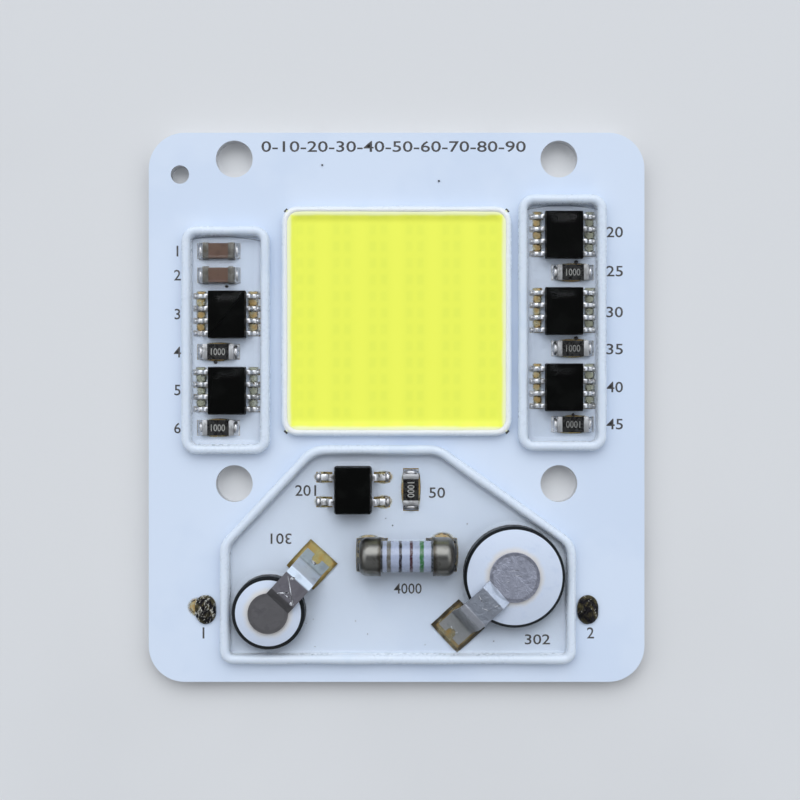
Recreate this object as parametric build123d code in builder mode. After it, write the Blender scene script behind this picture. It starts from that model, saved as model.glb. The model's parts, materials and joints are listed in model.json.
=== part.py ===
"""LED module: an aluminium-cored board that carries a square light-emitting area,
five linear driver circuits, a bridge rectifier, a wound resistor and two disc
varistors, each group potted in clear gel inside a bead of white silicone.

Origin: centre of the four fixing holes, on the board's back face.
+Z points the way the light goes, +Y towards the edge with the locating hole.
All sizes in millimetres.
"""

import os
from math import cos, radians, sin

from build123d import *

# Board
BOARD_W = 51.0
BOARD_L = 56.5
BOARD_CORNER_R = 3.7
FIXING_TO_TOP_EDGE = 19.4
BASE_T = 1.4
DIELECTRIC_T = 0.1
COPPER_T = 0.07
MASK_T = 0.1
FIXING_PITCH = 33.4
FIXING_HOLE_R = 1.9
LOCATING_HOLE_R = 0.95
LOCATING_INSET = (3.2, 4.3)

# Light-emitting area: pairs of dies in series down the columns
DIE_COLUMNS = 6
DIE_ROWS = 12
COLUMN_PITCH = 3.74
ROW_PITCH = 1.7
PAIR_PITCH = 1.13
DIE_W = 0.55
DIE_L = 0.95
DIE_T = 0.15
DIE_LAND_EDGE = 0.12
DIE_LAND_GAP = 0.3
LIGHT_EDGE = 22.1
LIGHT_CORNER_R = 1.0
PHOSPHOR_T = 0.65

# Silicone beads
LIGHT_BEAD_W = 0.75
LIGHT_BEAD_H = 0.95
BEAD_W = 0.95
BEAD_H = 1.25
BEAD_WALL_H = 0.85
LIGHT_BEAD_WALL_H = 0.6
MASK_LAP = 0.35

# Driver circuit: an eight-lead package and a sense resistor
SOIC_W = 3.9
SOIC_L = 4.9
SOIC_H = 1.45
SOIC_STANDOFF = 0.1
SOIC_CORNER_R = 0.12
SOIC_SPAN = 6.0
SOIC_PITCH = 1.27
SOIC_LEADS_PER_SIDE = 4
SOIC_LEAD_W = 0.42
LEAD_T = 0.2
LEAD_KNEE_SHARE = 0.35
LEAD_HEEL_SHARE = 0.5
PARTING_BAND_T = 0.3
SOIC_PAD_W = 0.6
SOIC_PAD_IN = 2.05
SOIC_PAD_TOE_LEFT = 0.6
SOIC_PAD_TOE_RIGHT = 0.35
MOULD_TAPER = 8
PIN_MARK_R = 0.35
PIN_MARK_SIDES = 8
PIN_MARK_INSET = 0.9
PIN_MARK_DEPTH = 0.1

DRIVER_PITCH = 7.8
RIGHT_DRIVER_X = 17.14
RIGHT_TOP_DRIVER_Y = 8.8
LEFT_DRIVER_X = -17.35
LEFT_TOP_DRIVER_Y = 0.65
SENSE_DROP = 3.8
SENSE_SHIFT = 0.95

# Chip resistors and capacitors
CHIP_L = 3.2
CHIP_W = 1.6
RESISTOR_H = 0.6
CAPACITOR_H = 0.95
END_T = 0.05
RESISTOR_END_L = 0.5
CAPACITOR_END_L = 0.6
GLAZE_T = 0.05
GLAZE_MARGIN = 0.05
CHIP_PAD_IN = 1.0
CHIP_PAD_TOE = 0.6
CAPACITOR_X = -18.25
CAPACITOR_PITCH = 2.5
CAPACITOR_RISE = 4.05

# Bridge rectifier
BRIDGE_X = -4.46
BRIDGE_Y = -17.3
BRIDGE_W = 3.85
BRIDGE_L = 4.95
BRIDGE_H = 2.3
BRIDGE_CORNER_R = 0.3
BRIDGE_SPAN = 6.6
BRIDGE_PITCH = 2.54
BRIDGE_LEAD_W = 0.68
BRIDGE_PAD_W = 1.1
BRIDGE_PAD_IN = 2.0
BRIDGE_PAD_TOE = 0.5

# Bleed resistor, set upright beside the rectifier
BLEED_X = 1.47

# Wound surge resistor with pressed end caps
SURGE_X = 1.05
SURGE_Y = -24.0
SURGE_L = 9.7
SURGE_CAP_R = 1.98
SURGE_CAP_L = 2.2
SURGE_CAP_T = 0.25
SURGE_CAP_ROUND = 0.85
SURGE_BODY_R = 1.6
SURGE_PAD_L = 3.2
SURGE_PAD_W = 3.4
SURGE_PAD_BEYOND = 0.3

# Disc varistors: disc, silvered face and bent contact tab
SMALL_DISC_XY = (-13.05, -29.75)
SMALL_DISC_R = 3.72
SMALL_SILVER_R = 3.35
SMALL_TAB_R = 2.05
SMALL_TAB_HEADING = 47.5
SMALL_TAB_RISE = 1.45
SMALL_TAB_FALL = 4.55
SMALL_TAB_FOOT = 6.2
SMALL_TAB_END = 7.45
SMALL_TAB_PAD = (4.75, 8.2, 3.55)
LARGE_DISC_XY = (12.0, -26.1)
LARGE_DISC_R = 5.15
LARGE_SILVER_R = 4.85
LARGE_TAB_R = 2.55
LARGE_TAB_HEADING = 222.4
LARGE_TAB_RISE = 2.15
LARGE_TAB_FALL = 5.5
LARGE_TAB_FOOT = 7.1
LARGE_TAB_END = 9.0
LARGE_TAB_PAD = (5.9, 9.55, 3.8)
DISC_T = 2.0
DISC_EDGE_R = 0.2
SILVER_T = 0.08
TAB_T = 0.25
TAB_W = 3.0
TAB_STEP_UP = 0.45
TAB_STEP_RUN = 0.85
TAB_FOLD_RUN = 0.65
TAB_FOLD_DROP = 0.33
TAB_BEND_R = 0.45
TAB_NOTCH_W = 1.0
TAB_NOTCH_L = 0.75

# Mains terminals
TERMINAL_X = 19.65
TERMINAL_Y = -29.65
TERMINAL_W = 2.1
TERMINAL_L = 2.95
TERMINAL_SOLDER_H = 0.5
TERMINAL_SOLDER_ROUND = 0.4

# Lower bead's outline, along the middle of the bead
LOWER_TOP_Y = -13.2
LOWER_BOTTOM_Y = -34.65
LOWER_LEFT_X = -17.6
LOWER_RIGHT_X = 17.9
LOWER_SHOULDER_Y = -22.9
LOWER_TOP_LEFT_X = -8.5
LOWER_TOP_RIGHT_X = 4.25
LOWER_TOP_R = 3.0
LOWER_SHOULDER_R = 2.2
LOWER_BOTTOM_R = 0.9

# Side beads' clear room between the parts they hold and their inner faces
SIDE_ROOM_LEFT = 0.12
SIDE_ROOM_RIGHT = 0.06
SIDE_ROOM_TOP = 0.75
SIDE_ROOM_BOTTOM = 0.95
SIDE_BEAD_R = 1.1

# Potting and solder
GEL_T = 0.8
GEL_CLEAR = 0.08
SOLDER_FILM = 0.04
TOE_SOLDER_H = 0.22
SOLDER_DISH_SHARE = 0.12
CHIP_SOLDER_SHARE = 0.7
SURGE_SOLDER_H = 0.9
SURGE_SOLDER_TAPER = 12
TAB_SOLDER_MARGIN = 0.12
TRACK_W = 0.6
BUS_W = 1.2

# Levels
Z_COPPER = BASE_T + DIELECTRIC_T
Z_PAD = Z_COPPER + COPPER_T
Z_MASK = Z_COPPER + MASK_T
Z_SEAT = Z_PAD + SOLDER_FILM

# Places worked out from the sizes above
BOARD_CENTRE_Y = FIXING_TO_TOP_EDGE - BOARD_L / 2
LOCATING_XY = (LOCATING_INSET[0] - BOARD_W / 2, FIXING_TO_TOP_EDGE - LOCATING_INSET[1])
DIE_LAND_W = PAIR_PITCH + DIE_W + 2 * DIE_LAND_EDGE
DIE_LAND_L = ROW_PITCH - DIE_LAND_GAP
COLUMN_XS = [(i - (DIE_COLUMNS - 1) / 2) * COLUMN_PITCH for i in range(DIE_COLUMNS)]
ROW_YS = [(j - (DIE_ROWS - 1) / 2) * ROW_PITCH for j in range(DIE_ROWS)]
LAND_YS = [(j - DIE_ROWS / 2) * ROW_PITCH for j in range(DIE_ROWS + 1)]
PAD_REACH_LEFT = SOIC_SPAN / 2 + SOIC_PAD_TOE_LEFT
PAD_REACH_RIGHT = SOIC_SPAN / 2 + SOIC_PAD_TOE_RIGHT
CHIP_PAD_OUT = CHIP_L / 2 + CHIP_PAD_TOE
BRIDGE_PAD_OUT = BRIDGE_SPAN / 2 + BRIDGE_PAD_TOE
SOIC_LEAD_YS = [(i - (SOIC_LEADS_PER_SIDE - 1) / 2) * SOIC_PITCH for i in range(SOIC_LEADS_PER_SIDE)]

LEFT_DRIVERS = [(LEFT_DRIVER_X, LEFT_TOP_DRIVER_Y - i * DRIVER_PITCH) for i in range(2)]
RIGHT_DRIVERS = [(RIGHT_DRIVER_X, RIGHT_TOP_DRIVER_Y - i * DRIVER_PITCH) for i in range(3)]
DRIVERS = LEFT_DRIVERS + RIGHT_DRIVERS
LEFT_SENSES = [(x - SENSE_SHIFT, y - SENSE_DROP) for x, y in LEFT_DRIVERS]
RIGHT_SENSES = [(x + SENSE_SHIFT, y - SENSE_DROP) for x, y in RIGHT_DRIVERS]
SENSES = LEFT_SENSES + RIGHT_SENSES
CAPACITORS = [(CAPACITOR_X, LEFT_TOP_DRIVER_Y + CAPACITOR_RISE + i * CAPACITOR_PITCH) for i in range(2)]

BRIDGE_LEAD_YS = [BRIDGE_Y - BRIDGE_PITCH / 2, BRIDGE_Y + BRIDGE_PITCH / 2]
SURGE_Z = Z_SEAT + SURGE_CAP_R
SURGE_PADS = [
    (SURGE_X + side * (SURGE_L / 2 + SURGE_PAD_BEYOND - SURGE_PAD_L / 2), SURGE_Y) for side in (-1, 1)
]
DISC_Z = Z_SEAT + DISC_T
TAB_Z = DISC_Z + SILVER_T + SOLDER_FILM


def heading_vector(heading):
    """Unit vector in the board's plane, heading degrees from +X."""
    return (cos(radians(heading)), sin(radians(heading)), 0)


def side_plane(at, heading, z=0.0):
    """Upright plane through a point: its x runs along the heading, its y is up."""
    along = heading_vector(heading)
    return Plane(origin=(at[0], at[1], z), x_dir=along, z_dir=(along[1], -along[0], 0))


def flat_plane(at, heading, z):
    """Level plane at a point, turned so that its x runs along the heading."""
    return Plane(origin=(at[0], at[1], z), x_dir=heading_vector(heading), z_dir=(0, 0, 1))


# Flat shapes of the board, drawn once and used by every layer
with BuildSketch() as board_face:
    with Locations((0, BOARD_CENTRE_Y)):
        RectangleRounded(BOARD_W, BOARD_L, BOARD_CORNER_R)
    with GridLocations(FIXING_PITCH, FIXING_PITCH, 2, 2):
        Circle(FIXING_HOLE_R, mode=Mode.SUBTRACT)
    with Locations(LOCATING_XY):
        Circle(LOCATING_HOLE_R, mode=Mode.SUBTRACT)

# Copper lands that the dies bridge, chained from column to column
with BuildSketch() as die_lands:
    with Locations(*[(x, y) for x in COLUMN_XS for y in LAND_YS]):
        Rectangle(DIE_LAND_W, DIE_LAND_L)
    for index, x in enumerate(COLUMN_XS[:-1]):
        with Locations((x + COLUMN_PITCH / 2, LAND_YS[-1] if index % 2 == 0 else LAND_YS[0])):
            Rectangle(COLUMN_PITCH, DIE_LAND_L)

with BuildSketch() as die_faces:
    with Locations(*[(x + side * PAIR_PITCH / 2, y) for x in COLUMN_XS for y in ROW_YS for side in (-1, 1)]):
        Rectangle(DIE_W, DIE_L)

# Pads, bare of mask; the drivers' left ones reach further out
LEFT_PAD_L = PAD_REACH_LEFT - SOIC_PAD_IN
RIGHT_PAD_L = PAD_REACH_RIGHT - SOIC_PAD_IN
CHIP_PAD_X = (CHIP_PAD_IN + CHIP_PAD_OUT) / 2
BRIDGE_PAD_X = (BRIDGE_PAD_IN + BRIDGE_PAD_OUT) / 2
with BuildSketch() as pad_faces:
    with Locations(*[(x - SOIC_PAD_IN - LEFT_PAD_L / 2, y + dy) for x, y in DRIVERS for dy in SOIC_LEAD_YS]):
        Rectangle(LEFT_PAD_L, SOIC_PAD_W)
    with Locations(*[(x + SOIC_PAD_IN + RIGHT_PAD_L / 2, y + dy) for x, y in DRIVERS for dy in SOIC_LEAD_YS]):
        Rectangle(RIGHT_PAD_L, SOIC_PAD_W)
    with Locations(*[(x + side * CHIP_PAD_X, y) for x, y in SENSES + CAPACITORS for side in (-1, 1)]):
        Rectangle(CHIP_PAD_OUT - CHIP_PAD_IN, CHIP_W)
    with Locations((BLEED_X, BRIDGE_Y - CHIP_PAD_X), (BLEED_X, BRIDGE_Y + CHIP_PAD_X)):
        Rectangle(CHIP_W, CHIP_PAD_OUT - CHIP_PAD_IN)
    with Locations(*[(BRIDGE_X + side * BRIDGE_PAD_X, y) for y in BRIDGE_LEAD_YS for side in (-1, 1)]):
        Rectangle(BRIDGE_PAD_OUT - BRIDGE_PAD_IN, BRIDGE_PAD_W)
    with Locations(*SURGE_PADS):
        Rectangle(SURGE_PAD_L, SURGE_PAD_W)
    with Locations(SMALL_DISC_XY):
        Circle(SMALL_SILVER_R)
    with Locations(LARGE_DISC_XY):
        Circle(LARGE_SILVER_R)
    for at, heading, (near, far, width) in (
        (SMALL_DISC_XY, SMALL_TAB_HEADING, SMALL_TAB_PAD),
        (LARGE_DISC_XY, LARGE_TAB_HEADING, LARGE_TAB_PAD),
    ):
        with Locations(flat_plane(at, heading, 0).location):
            with Locations(((near + far) / 2, 0)):
                Rectangle(far - near, width)
    with Locations((-TERMINAL_X, TERMINAL_Y), (TERMINAL_X, TERMINAL_Y)):
        SlotOverall(TERMINAL_L, TERMINAL_W, rotation=90)

# Tracks, under the mask
bridge_in = BRIDGE_PAD_IN + BRIDGE_PAD_W / 2
chain_x, chain_y = COLUMN_XS[-1], LAND_YS[0]
bus_x = RIGHT_DRIVER_X - PAD_REACH_LEFT - SIDE_ROOM_LEFT - BEAD_W / 2
surge_left, surge_right = SURGE_PADS[0][0], SURGE_PADS[1][0]
surge_top = SURGE_Y + SURGE_PAD_W / 2 + BUS_W
bleed_top = LOWER_TOP_Y - BEAD_W
RECTIFIER_TO_DIES = [(-chain_x, chain_y), (-chain_x, LOWER_TOP_Y), (BRIDGE_X - bridge_in, BRIDGE_LEAD_YS[1])]
DIES_TO_DRIVERS = [(chain_x, chain_y), (bus_x, chain_y), (bus_x, RIGHT_TOP_DRIVER_Y)]
RECTIFIER_TO_BLEED = [
    (BRIDGE_X + bridge_in, BRIDGE_LEAD_YS[1]),
    (BRIDGE_X + bridge_in, bleed_top),
    (BLEED_X, bleed_top),
    (BLEED_X, BRIDGE_Y + CHIP_PAD_X),
]
LINE_TO_SURGE = [
    (-TERMINAL_X, TERMINAL_Y),
    SMALL_DISC_XY,
    (surge_left, SMALL_DISC_XY[1]),
    (surge_left, SURGE_Y),
]
SURGE_TO_RECTIFIER = [
    (surge_right, SURGE_Y),
    (surge_right, surge_top),
    (BRIDGE_X + bridge_in, surge_top),
    (BRIDGE_X + bridge_in, BRIDGE_LEAD_YS[0]),
]
NEUTRAL_TO_DISC = [(TERMINAL_X, TERMINAL_Y), (LARGE_DISC_XY[0] + LARGE_DISC_R, TERMINAL_Y), LARGE_DISC_XY]
with BuildSketch() as track_faces:
    for points, width in (
        (RECTIFIER_TO_DIES, BUS_W),
        (DIES_TO_DRIVERS, BUS_W),
        (RECTIFIER_TO_BLEED, TRACK_W),
        (LINE_TO_SURGE, BUS_W),
        (SURGE_TO_RECTIFIER, TRACK_W),
        (NEUTRAL_TO_DISC, BUS_W),
    ):
        with BuildLine():
            Polyline(*points)
        trace(line_width=width)


def lower_outline():
    """Corners and rounding of the lower bead, along its middle."""
    corners = [
        (LOWER_LEFT_X, LOWER_BOTTOM_Y),
        (LOWER_RIGHT_X, LOWER_BOTTOM_Y),
        (LOWER_RIGHT_X, LOWER_SHOULDER_Y),
        (LOWER_TOP_RIGHT_X, LOWER_TOP_Y),
        (LOWER_TOP_LEFT_X, LOWER_TOP_Y),
        (LOWER_LEFT_X, LOWER_SHOULDER_Y),
    ]
    rounding = [LOWER_BOTTOM_R] * 2 + [LOWER_SHOULDER_R] + [LOWER_TOP_R] * 2 + [LOWER_SHOULDER_R]
    return corners, rounding


def side_outline(driver_x, top_y, bottom_y):
    """Corners and rounding of a side bead round the parts between two heights."""
    half = BEAD_W / 2
    left = driver_x - PAD_REACH_LEFT - SIDE_ROOM_LEFT - half
    right = driver_x + PAD_REACH_RIGHT + SIDE_ROOM_RIGHT + half
    top = top_y + SIDE_ROOM_TOP + half
    bottom = bottom_y - SIDE_ROOM_BOTTOM - half
    return [(left, bottom), (right, bottom), (right, top), (left, top)], [SIDE_BEAD_R] * 4


LEFT_OUTLINE = side_outline(
    LEFT_DRIVER_X, CAPACITORS[-1][1] + CHIP_W / 2, LEFT_SENSES[-1][1] - CHIP_W / 2
)
RIGHT_OUTLINE = side_outline(
    RIGHT_DRIVER_X, RIGHT_DRIVERS[0][1] + SOIC_L / 2, RIGHT_SENSES[-1][1] - CHIP_W / 2
)
LOWER_OUTLINE = lower_outline()


def bead(outline, width, height, wall, z):
    """A silicone bead: upright flanks and a rounded crown, run round an outline."""
    corners, rounding = outline
    start = ((corners[0][0] + corners[1][0]) / 2, corners[0][1])
    with BuildLine() as route:
        FilletPolyline(*corners, radius=rounding, close=True)
    with BuildSketch(Plane(origin=(start[0], start[1], z), x_dir=(0, 1, 0), z_dir=(1, 0, 0))) as section:
        with BuildLine():
            Polyline((-width / 2, wall), (-width / 2, 0), (width / 2, 0), (width / 2, wall))
            ThreePointArc((width / 2, wall), (0, height), (-width / 2, wall))
        make_face()
    sweep(section.sketch, path=route.wires()[0].moved(Location((0, 0, z))))


def gel_pool(outline):
    """The potting inside a bead, up to its inner faces."""
    corners, rounding = outline
    with BuildSketch(Plane.XY.offset(Z_MASK)) as pool:
        with BuildLine():
            FilletPolyline(*corners, radius=rounding, close=True)
        make_face()
        offset(amount=-BEAD_W / 2)
    extrude(pool.sketch, amount=GEL_T)


def gel_clearance(x, y, width, length, height):
    """Room in the gel for one part, from the board up to the part's top."""
    with BuildSketch(Plane.XY.offset(Z_MASK)) as room:
        with Locations((x, y)):
            Rectangle(width + 2 * GEL_CLEAR, length + 2 * GEL_CLEAR)
    extrude(room.sketch, amount=height + GEL_CLEAR, mode=Mode.SUBTRACT)


def driver_clearance(x, y):
    """Room in the gel for a driver's body, its leads and their solder."""
    rows = SOIC_LEAD_YS[-1] - SOIC_LEAD_YS[0] + SOIC_PAD_W
    gel_clearance(x, y, SOIC_W, SOIC_L, GEL_T)
    middle = (PAD_REACH_RIGHT - PAD_REACH_LEFT) / 2
    gel_clearance(x + middle, y, PAD_REACH_LEFT + PAD_REACH_RIGHT, rows, GEL_T)


def solder_joint(at, heading, inner, toe, outer, height, width):
    """Solder film under a foot, and the fillet that climbs its toe."""
    with BuildSketch(side_plane(at, heading, Z_PAD)) as fillet_side:
        with BuildLine():
            Polyline((outer, SOLDER_FILM), (outer, 0), (inner, 0), (inner, SOLDER_FILM),
                     (toe, SOLDER_FILM), (toe, height))
            SagittaArc((toe, height), (outer, SOLDER_FILM), -(outer - toe) * SOLDER_DISH_SHARE)
        make_face()
    extrude(fillet_side.sketch, amount=width / 2, both=True)


def driver_joints(x, y):
    """The eight soldered joints of one driver."""
    for dy in SOIC_LEAD_YS:
        for heading, reach in ((0, PAD_REACH_RIGHT), (180, PAD_REACH_LEFT)):
            solder_joint((x, y + dy), heading, SOIC_PAD_IN, SOIC_SPAN / 2, reach,
                         SOLDER_FILM + TOE_SOLDER_H, SOIC_PAD_W)


def chip_joints(x, y, chip_height, headings=(0, 180)):
    """The two soldered joints of one chip part."""
    for heading in headings:
        solder_joint((x, y), heading, CHIP_PAD_IN, CHIP_L / 2, CHIP_PAD_OUT,
                     SOLDER_FILM + chip_height * CHIP_SOLDER_SHARE, CHIP_W)


def moulded_body(x, y, width, length, height, z, corner):
    """A moulded package: a band at the parting line, drawn in above and below."""
    drawn = (height - PARTING_BAND_T) / 2
    for level, amount, taper in (
        (z + drawn, PARTING_BAND_T, 0),
        (z + drawn + PARTING_BAND_T, drawn, MOULD_TAPER),
        (z + drawn, -drawn, MOULD_TAPER),
    ):
        with BuildSketch(Plane.XY.offset(level)) as outline:
            with Locations((x, y)):
                Rectangle(width, length)
            fillet(outline.vertices(), corner)
        extrude(outline.sketch, amount=amount, taper=taper)


def gull_wing(at, heading, root, root_z, toe, width):
    """A lead bent out, down and out again, from the body's side to its toe."""
    foot_z = LEAD_T / 2
    knee = root + (toe - root) * LEAD_KNEE_SHARE
    heel = root + (toe - root) * LEAD_HEEL_SHARE
    with BuildSketch(side_plane(at, heading, Z_SEAT)) as bent:
        with BuildLine():
            FilletPolyline((root, root_z), (knee, root_z), (heel, foot_z), (toe, foot_z), radius=LEAD_T)
        trace(line_width=LEAD_T)
    extrude(bent.sketch, amount=width / 2, both=True)


def contact_tab(at, heading, radius, rise, fall, foot, end):
    """A varistor's contact: round plate, step up, bridge, two-stage bend down and notched foot."""
    foot_z = Z_SEAT + TAB_T / 2
    plate_z = TAB_Z + TAB_T / 2
    bridge_z = plate_z + TAB_STEP_UP
    with BuildSketch(side_plane(at, heading)) as bent:
        with BuildLine():
            FilletPolyline(
                (0, plate_z), (rise, plate_z), (rise + TAB_STEP_RUN, bridge_z),
                (fall, bridge_z), (fall + TAB_FOLD_RUN, bridge_z - TAB_FOLD_DROP),
                (foot, foot_z), (end, foot_z),
                radius=[TAB_BEND_R / 2] * 4 + [TAB_BEND_R],
            )
        trace(line_width=TAB_T)
    extrude(bent.sketch, amount=TAB_W / 2, both=True)
    with BuildSketch(flat_plane(at, heading, TAB_Z)) as plate:
        Circle(radius)
    extrude(plate.sketch, amount=TAB_T)
    with BuildSketch(flat_plane(at, heading, Z_SEAT)) as notch:
        with Locations((end, 0)):
            SlotOverall(2 * TAB_NOTCH_L, TAB_NOTCH_W)
    extrude(notch.sketch, amount=TAB_T, mode=Mode.SUBTRACT)


def save(node, name):
    """Label a finished piece and write it out."""
    node.part.label = name
    export_step(node.part, f"parts/{name}.step")


os.makedirs("parts", exist_ok=True)

# Board, from the back: aluminium, dielectric, copper, mask
with BuildPart() as aluminium_base:
    add(board_face.sketch)
    extrude(amount=BASE_T)
save(aluminium_base, "aluminium_base")

with BuildPart() as dielectric_layer:
    with BuildSketch(Plane.XY.offset(BASE_T)):
        add(board_face.sketch)
    extrude(amount=DIELECTRIC_T)
save(dielectric_layer, "dielectric_layer")

with BuildPart() as copper_circuit:
    with BuildSketch(Plane.XY.offset(Z_COPPER)):
        add(die_lands.sketch)
        add(pad_faces.sketch)
        add(track_faces.sketch)
    extrude(amount=COPPER_T)
save(copper_circuit, "copper_circuit")

with BuildSketch() as light_window:
    RectangleRounded(LIGHT_EDGE + 2 * MASK_LAP, LIGHT_EDGE + 2 * MASK_LAP, LIGHT_CORNER_R + MASK_LAP)

with BuildPart() as solder_mask:
    with BuildSketch(Plane.XY.offset(Z_COPPER)):
        add(board_face.sketch)
        add(light_window.sketch, mode=Mode.SUBTRACT)
        add(pad_faces.sketch, mode=Mode.SUBTRACT)
    extrude(amount=MASK_T)
    with BuildSketch(Plane.XY.offset(Z_COPPER)):
        add(track_faces.sketch)
    extrude(amount=COPPER_T, mode=Mode.SUBTRACT)
save(solder_mask, "solder_mask")

# Light-emitting area
with BuildPart() as led_dies:
    with BuildSketch(Plane.XY.offset(Z_PAD)):
        add(die_faces.sketch)
    extrude(amount=DIE_T)
save(led_dies, "led_dies")

with BuildPart() as phosphor_fill:
    with BuildSketch(Plane.XY.offset(Z_PAD)):
        RectangleRounded(LIGHT_EDGE, LIGHT_EDGE, LIGHT_CORNER_R)
    extrude(amount=PHOSPHOR_T)
    with BuildSketch(Plane.XY.offset(Z_PAD)):
        add(die_faces.sketch)
    extrude(amount=DIE_T, mode=Mode.SUBTRACT)
save(phosphor_fill, "phosphor_fill")

half_light = (LIGHT_EDGE + LIGHT_BEAD_W) / 2
LIGHT_OUTLINE = (
    [(-half_light, -half_light), (half_light, -half_light), (half_light, half_light), (-half_light, half_light)],
    [LIGHT_CORNER_R + LIGHT_BEAD_W / 2] * 4,
)
with BuildPart() as light_area_bead:
    bead(LIGHT_OUTLINE, LIGHT_BEAD_W, LIGHT_BEAD_H, LIGHT_BEAD_WALL_H, Z_MASK)
    with BuildSketch(Plane.XY.offset(Z_COPPER)):
        add(light_window.sketch)
        RectangleRounded(LIGHT_EDGE, LIGHT_EDGE, LIGHT_CORNER_R, mode=Mode.SUBTRACT)
        add(track_faces.sketch, mode=Mode.SUBTRACT)
    extrude(amount=MASK_T)
    with BuildSketch(Plane.XY.offset(Z_PAD)):
        add(light_window.sketch)
        RectangleRounded(LIGHT_EDGE, LIGHT_EDGE, LIGHT_CORNER_R, mode=Mode.SUBTRACT)
    extrude(amount=MASK_T - COPPER_T)
save(light_area_bead, "light_area_bead")

# Potting beads and their gel
for name, outline in (("left", LEFT_OUTLINE), ("right", RIGHT_OUTLINE), ("lower", LOWER_OUTLINE)):
    with BuildPart() as potting_bead:
        bead(outline, BEAD_W, BEAD_H, BEAD_WALL_H, Z_MASK)
    save(potting_bead, f"{name}_bead")

SEAT_RISE = Z_SEAT - Z_MASK
PAD_SPAN = 2 * CHIP_PAD_OUT
with BuildPart() as left_gel:
    gel_pool(LEFT_OUTLINE)
    for x, y in LEFT_DRIVERS:
        driver_clearance(x, y)
    for x, y in LEFT_SENSES:
        gel_clearance(x, y, PAD_SPAN, CHIP_W, SEAT_RISE + RESISTOR_H)
    for x, y in CAPACITORS:
        gel_clearance(x, y, PAD_SPAN, CHIP_W, GEL_T)
save(left_gel, "left_gel")

with BuildPart() as right_gel:
    gel_pool(RIGHT_OUTLINE)
    for x, y in RIGHT_DRIVERS:
        driver_clearance(x, y)
    for x, y in RIGHT_SENSES:
        gel_clearance(x, y, PAD_SPAN, CHIP_W, SEAT_RISE + RESISTOR_H)
save(right_gel, "right_gel")

with BuildPart() as lower_gel:
    gel_pool(LOWER_OUTLINE)
    gel_clearance(BRIDGE_X, BRIDGE_Y, BRIDGE_W, BRIDGE_L, GEL_T)
    for y in BRIDGE_LEAD_YS:
        gel_clearance(BRIDGE_X, y, 2 * BRIDGE_PAD_OUT, BRIDGE_PAD_W, GEL_T)
    gel_clearance(BLEED_X, BRIDGE_Y, CHIP_W, PAD_SPAN, SEAT_RISE + RESISTOR_H)
    gel_clearance(SURGE_X, SURGE_Y, SURGE_L + 2 * SURGE_PAD_BEYOND, 2 * SURGE_CAP_R, GEL_T)
    for at, radius, heading, pad in (
        (SMALL_DISC_XY, SMALL_DISC_R, SMALL_TAB_HEADING, SMALL_TAB_PAD),
        (LARGE_DISC_XY, LARGE_DISC_R, LARGE_TAB_HEADING, LARGE_TAB_PAD),
    ):
        with BuildSketch(flat_plane(at, heading, Z_MASK)):
            Circle(radius + GEL_CLEAR)
            with Locations((pad[1] / 2, 0)):
                Rectangle(pad[1] + 2 * GEL_CLEAR, pad[2] + 2 * GEL_CLEAR)
        extrude(amount=GEL_T, mode=Mode.SUBTRACT)
save(lower_gel, "lower_gel")

# Drivers, numbered from the left group's top to the right group's bottom
SOIC_PARTING_Z = SOIC_STANDOFF + SOIC_H / 2
for number, (x, y) in enumerate(DRIVERS, 1):
    with BuildPart() as driver_body:
        moulded_body(x, y, SOIC_W, SOIC_L, SOIC_H, Z_SEAT + SOIC_STANDOFF, SOIC_CORNER_R)
        with BuildSketch(Plane.XY.offset(Z_SEAT + SOIC_STANDOFF + SOIC_H)):
            with Locations((x - SOIC_W / 2 + PIN_MARK_INSET, y + SOIC_L / 2 - PIN_MARK_INSET)):
                RegularPolygon(PIN_MARK_R, PIN_MARK_SIDES)
        extrude(amount=-PIN_MARK_DEPTH, mode=Mode.SUBTRACT)
    save(driver_body, f"driver_{number}_body")

    with BuildPart() as driver_leads:
        for dy in SOIC_LEAD_YS:
            for heading in (0, 180):
                gull_wing((x, y + dy), heading, SOIC_W / 2, SOIC_PARTING_Z, SOIC_SPAN / 2, SOIC_LEAD_W)
    save(driver_leads, f"driver_{number}_leads")

# Chip resistors: ceramic with a glazed face, and wrapped end terminals
def resistor_body(at, heading):
    """Ceramic slab with a glaze between the terminals."""
    with BuildSketch(flat_plane(at, heading, Z_SEAT + END_T)) as slab:
        Rectangle(CHIP_L - 2 * END_T, CHIP_W)
    extrude(slab.sketch, amount=RESISTOR_H - 2 * END_T)
    with BuildSketch(flat_plane(at, heading, Z_SEAT + RESISTOR_H - END_T)) as glaze:
        Rectangle(CHIP_L - 2 * RESISTOR_END_L, CHIP_W - 2 * GLAZE_MARGIN)
    extrude(glaze.sketch, amount=GLAZE_T)


def resistor_ends(at, heading):
    """Two terminals, each wrapped under, up and over an end of the slab."""
    for end in (heading, heading + 180):
        with BuildSketch(side_plane(at, end, Z_SEAT)) as wrap:
            with Locations((CHIP_L / 2 - RESISTOR_END_L / 2, RESISTOR_H / 2)):
                Rectangle(RESISTOR_END_L, RESISTOR_H)
            with Locations((CHIP_L / 2 - END_T - RESISTOR_END_L / 2, RESISTOR_H / 2)):
                Rectangle(RESISTOR_END_L, RESISTOR_H - 2 * END_T, mode=Mode.SUBTRACT)
        extrude(wrap.sketch, amount=CHIP_W / 2, both=True)


for name, at, heading in [(f"sense_resistor_{n}", at, 0) for n, at in enumerate(SENSES, 1)] + [
    ("bleed_resistor", (BLEED_X, BRIDGE_Y), 90)
]:
    with BuildPart() as body:
        resistor_body(at, heading)
    save(body, f"{name}_body")
    with BuildPart() as ends:
        resistor_ends(at, heading)
    save(ends, f"{name}_terminals")

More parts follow.
